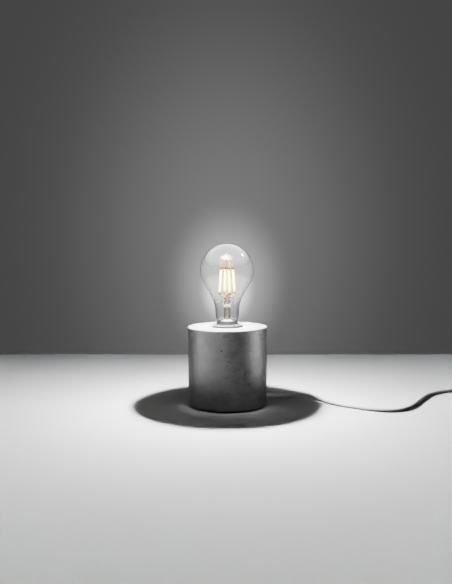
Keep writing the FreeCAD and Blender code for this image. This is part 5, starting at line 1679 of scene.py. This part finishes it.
# %% The table top
TABLE_FRONT = -1.6
TABLE_BACK = 0.379
TABLE_SIDE = 1.5
TABLE_SLANT = 0.035
TABLE_GREYS = (0.70, 0.76)
TABLE_BACK_GREY = 0.20


def table_finish():
    material, tree, shader, place = blank_finish("pale_table")
    slow = cloud(tree, place, 3.0, 3.0)
    depth = add(tree, "ShaderNodeSeparateXYZ", {"Vector": place}).outputs["Y"]
    back = spread(tree, depth, 0.0, TABLE_BACK)
    feed(tree, shader, Roughness=0.8, Specular_IOR_Level=0.0,
         Base_Color=mixed(tree, back, mixed(tree, slow, *TABLE_GREYS), TABLE_BACK_GREY))
    return material


def make_table():
    shape = bmesh.new()
    bmesh.ops.create_grid(shape, x_segments=1, y_segments=1, size=1.0)
    bmesh.ops.scale(shape, vec=(TABLE_SIDE, (TABLE_BACK - TABLE_FRONT) / 2, 1.0),
                    verts=shape.verts)
    moved(shape, (0, (TABLE_BACK + TABLE_FRONT) / 2, 0))
    for corner in shape.verts:
        if corner.co.y > 0:
            corner.co.y -= TABLE_SLANT * corner.co.x
    table = as_object(shape, "table_top", (table_finish(),))
    return table


table = make_table()
print("table top made:", table.name)

# %% [markdown]
# The bulb's own light
#
# The lit rods are too thin to light the scene cleanly, so a small lamp at their middle does that
# work. It throws the round shadow that the block's own rim makes on the table. Real light fades
# with the square of the distance, but a photograph with a bulb in it is lifted in its dark parts,
# so a second share of the lamp doesn't fade. Upright rods throw little light straight down, so
# the ring and the cap right under them get a much weaker lamp of their own.

# %% The bulb's own light
GLOW_HEIGHT = 165.0 * MM
GLOW_SIZE = 6.0 * MM
GLOW_COLOUR = (0.975, 0.985, 1.0)
GLOW_NEAR = 12.5
GLOW_FAR = 74.0
GLOW_BELOW = 0.075


def make_light(name, kind, energy, place, aim=None, **values):
    data = bpy.data.lights.new(name, kind)
    data.energy = energy
    for key, value in values.items():
        setattr(data, key, value)
    light = bpy.data.objects.new(name, data)
    light.location = place
    if aim is not None:
        light.rotation_euler = (Vector(aim) - Vector(place)).to_track_quat("-Z", "Y").to_euler()
    scene.collection.objects.link(light)
    return light


def linked(light, name, pieces, state="INCLUDE"):
    """Lights only the named pieces, or all but them."""
    group = bpy.data.collections.new(name)
    for piece in pieces:
        group.objects.link(piece)
    for entry in group.collection_objects:
        entry.light_linking.link_state = state
    light.light_linking.receiver_collection = group


def glow_lamp(name, near_strength, far_strength):
    """A small round lamp, with one share that fades with distance and one that doesn't."""
    light = make_light(name, "POINT", 1.0, (0, 0, GLOW_HEIGHT), color=GLOW_COLOUR,
                       shadow_soft_size=GLOW_SIZE)
    light.data.use_nodes = True
    tree = light.data.node_tree
    near = add(tree, "ShaderNodeLightFalloff", {"Strength": near_strength}).outputs["Quadratic"]
    far = add(tree, "ShaderNodeLightFalloff", {"Strength": far_strength}).outputs["Constant"]
    tree.links.new(maths(tree, "ADD", near, far), tree.nodes["Emission"].inputs["Strength"])
    light.visible_transmission = False
    light.visible_glossy = False
    return light


def make_glow():
    inside = [stem, upper_wires, lower_wires, welds] + [part for parts in rods for part in parts]
    below = [holder, screw_heads, screw_shell, cap, cap_skirt, cement_ring]
    linked(glow_lamp("rods_glow", GLOW_NEAR, GLOW_FAR), "not_lit_by_the_rods", inside + below,
           "EXCLUDE")
    linked(glow_lamp("rods_glow_below", GLOW_NEAR * GLOW_BELOW, 0.0), "lit_from_straight_above",
           below)


make_glow()
print("the rods' light stands at", round(GLOW_HEIGHT, 3), "m")

# %% [markdown]
# Studio lights
#
# Two kinds of light are only seen as a shine. Soft boxes make the highlights on the glass: four
# of growing size are stacked over each other, so that the large one fades towards its edge. They
# leave out the cord, which lies dark in the block's shadow. Narrow beams along the table give the
# block's side its upright sheen, two bright bands with a darker middle. One faint overhead light
# keeps the rest from going black.

# %% Studio lights
# Direction from the glass, distance, sides and energy
HIGHLIGHTS = (
    ("highlight_top", (-0.11, -0.49, 0.87), 1.50, (0.60, 0.40), 60.0),
    ("highlight_top_middle", (-0.08, -0.49, 0.87), 1.55, (0.92, 0.62), 62.0),
    ("highlight_top_outer", (-0.05, -0.49, 0.87), 1.60, (1.25, 0.80), 62.0),
    ("highlight_top_edge", (-0.02, -0.49, 0.87), 1.65, (1.60, 1.00), 52.0),
    ("highlight_right", (0.70, 0.29, 0.66), 1.5, (0.22, 0.22), 24.0),
    ("highlight_left", (-0.92, -0.20, 0.32), 1.5, (0.07, 0.09), 12.0),
)
# Turn from the front in degrees and energy
BEAMS = (
    ("beam_front", -18.0, 43.0), ("beam_left_front", -50.0, 72.0), ("beam_left", -80.0, 122.0),
    ("beam_right", 89.0, 135.0),
)
BEAM_DISTANCE = 1.3
BEAM_HEIGHT = 0.04
BEAM_AIM = 0.104
BEAM_WIDTH = 2 * math.atan(0.080 / BEAM_DISTANCE)
BEAM_BLEND = 0.45
BEAM_SIZE = 0.015
OVERHEAD_PLACE = (-0.3, -0.5, 1.6)
OVERHEAD_AIM = (0, 0, 0.05)
OVERHEAD_ENERGY = 0.05


def only_as_shine(light):
    light.visible_diffuse = False
    light.visible_camera = False


def make_highlights():
    middle = Vector((0, 0, BALL_CENTRE))
    for name, direction, distance, (width, height), energy in HIGHLIGHTS:
        place = middle + Vector(direction).normalized() * distance
        light = make_light(name, "AREA", energy, place, middle, shape="ELLIPSE", size=width,
                           size_y=height)
        only_as_shine(light)
        linked(light, f"without_{name}", [lamp_cord, plug_cord, sleeve], "EXCLUDE")


def make_beams():
    for name, turn, energy in BEAMS:
        angle = math.radians(turn)
        place = (BEAM_DISTANCE * math.sin(angle), -BEAM_DISTANCE * math.cos(angle), BEAM_HEIGHT)
        light = make_light(name, "SPOT", energy, place, (0, 0, BEAM_AIM), spot_size=BEAM_WIDTH,
                           spot_blend=BEAM_BLEND, shadow_soft_size=BEAM_SIZE)
        only_as_shine(light)
        linked(light, f"lit_by_{name}", [block])


make_highlights()
make_beams()
make_light("soft_overhead", "AREA", OVERHEAD_ENERGY, OVERHEAD_PLACE, OVERHEAD_AIM, size=1.0)

# %% [markdown]
# The backdrop
#
# What is seen behind the lamp is a dark studio tone that grows lighter round the bulb. There is
# no sheet behind it: the tone depends only on the direction in which the camera looks, so it
# can't throw a shadow or a reflection that the real studio didn't have. Three soft rounds of
# light lie over each other, a wide one, a halo round the bulb and a tight glow close to the
# glass. From the sides and from above, the glass reflects a paler studio. The scene itself is lit
# by the world only very dimly.

# %% Helpers for the backdrop
def aim_at(height):
    """The direction in which the camera sees a height on the lamp's axis."""
    return (Vector((0, 0, height)) - CAMERA_PLACE).normalized()


def facing(tree, direction, aim):
    """How nearly a direction points at an aim: 1 straight at it, less to the sides."""
    feeds = {0: direction, 1: aim}
    return add(tree, "ShaderNodeVectorMath", feeds, operation="DOT_PRODUCT").outputs["Value"]


def pressed(tree, direction, scale):
    """A direction with its axes scaled, so that rounds of light become ovals."""
    feeds = {0: stretched(tree, direction, scale)}
    return add(tree, "ShaderNodeVectorMath", feeds, operation="NORMALIZE").outputs[0]


def soft_round(tree, direction, aim, reach, fall):
    """A round of light: 1 at its middle and 0 at its reach, in degrees."""
    near = spread(tree, facing(tree, direction, aim), math.cos(math.radians(reach)), 1.0)
    return maths(tree, "POWER", near, fall)


print("helpers for the backdrop are ready")

# %% The backdrop
BACKDROP_DARK = 0.066
BACKDROP_LIGHT = 0.195
BACKDROP_HEIGHT = 0.215
BACKDROP_OVAL = (1.45, 1.0, 1.0)
BACKDROP_REACH = 34.0
BACKDROP_FALL = 5.0
HALO_LIGHT = 0.68
HALO_HEIGHT = 0.156
HALO_OVAL = Vector((1.0, 1.0, 0.75))
HALO_REACH = 5.6
HALO_FALL = 3.0
AURA_LIGHT = 3.5
AURA_HEIGHT = 0.147
AURA_REACH = 2.4
AURA_FALL = 2.6
SIDES_LIGHT = 0.26
SIDES_FROM, SIDES_TO = 28.0, 60.0
CEILING_LIGHT = 0.9
CEILING_IN_GLASS = 8.0
CEILING_FROM, CEILING_TO = 0.30, 0.62
AMBIENT = 0.012


def backdrop_tone(tree, rays):
    """The tone in each direction: backdrop, halo, tight glow, the studio's sides and ceiling."""
    direction = add(tree, "ShaderNodeTexCoord").outputs["Generated"]
    wide = soft_round(tree, pressed(tree, direction, BACKDROP_OVAL), aim_at(BACKDROP_HEIGHT),
                      BACKDROP_REACH, BACKDROP_FALL)
    shade = mixed(tree, wide, BACKDROP_DARK, BACKDROP_LIGHT)
    oval = pressed(tree, direction, HALO_OVAL)
    halo = soft_round(tree, oval, (aim_at(HALO_HEIGHT) * HALO_OVAL).normalized(), HALO_REACH,
                      HALO_FALL)
    shade = mixed(tree, halo, shade, HALO_LIGHT)
    aura = soft_round(tree, oval, (aim_at(AURA_HEIGHT) * HALO_OVAL).normalized(), AURA_REACH,
                      AURA_FALL)
    aura = maths(tree, "MULTIPLY", aura, rays.outputs["Is Camera Ray"])
    shade = mixed(tree, aura, shade, AURA_LIGHT)
    beyond = spread(tree, facing(tree, direction, aim_at(HALO_HEIGHT)),
                    math.cos(math.radians(SIDES_FROM)), math.cos(math.radians(SIDES_TO)))
    shade = mixed(tree, beyond, shade, SIDES_LIGHT)
    ceiling = mixed(tree, rays.outputs["Is Singular Ray"], CEILING_LIGHT, CEILING_IN_GLASS)
    above = spread(tree, height_of(tree, direction), CEILING_FROM, CEILING_TO)
    return mixed(tree, above, shade, ceiling)


def make_backdrop():
    """The world: its tone is seen by the camera, through glass and in a shine, and lights dimly."""
    world = bpy.data.worlds.new("studio")
    world.use_nodes = True
    tree = world.node_tree
    seen = tree.nodes["Background"]
    rays = add(tree, "ShaderNodeLightPath")
    tree.links.new(backdrop_tone(tree, rays), seen.inputs["Color"])
    dim = add(tree, "ShaderNodeBackground", {"Color": tone(AMBIENT)})
    shown = maths(tree, "MAXIMUM", rays.outputs["Is Camera Ray"],
                  rays.outputs["Is Transmission Ray"])
    shown = maths(tree, "MAXIMUM", shown, rays.outputs["Is Glossy Ray"])
    blend = add(tree, "ShaderNodeMixShader", {0: shown, 1: dim.outputs[0], 2: seen.outputs[0]})
    tree.links.new(blend.outputs[0], tree.nodes["World Output"].inputs["Surface"])
    scene.world = world


make_backdrop()
print("world:", scene.world.name)
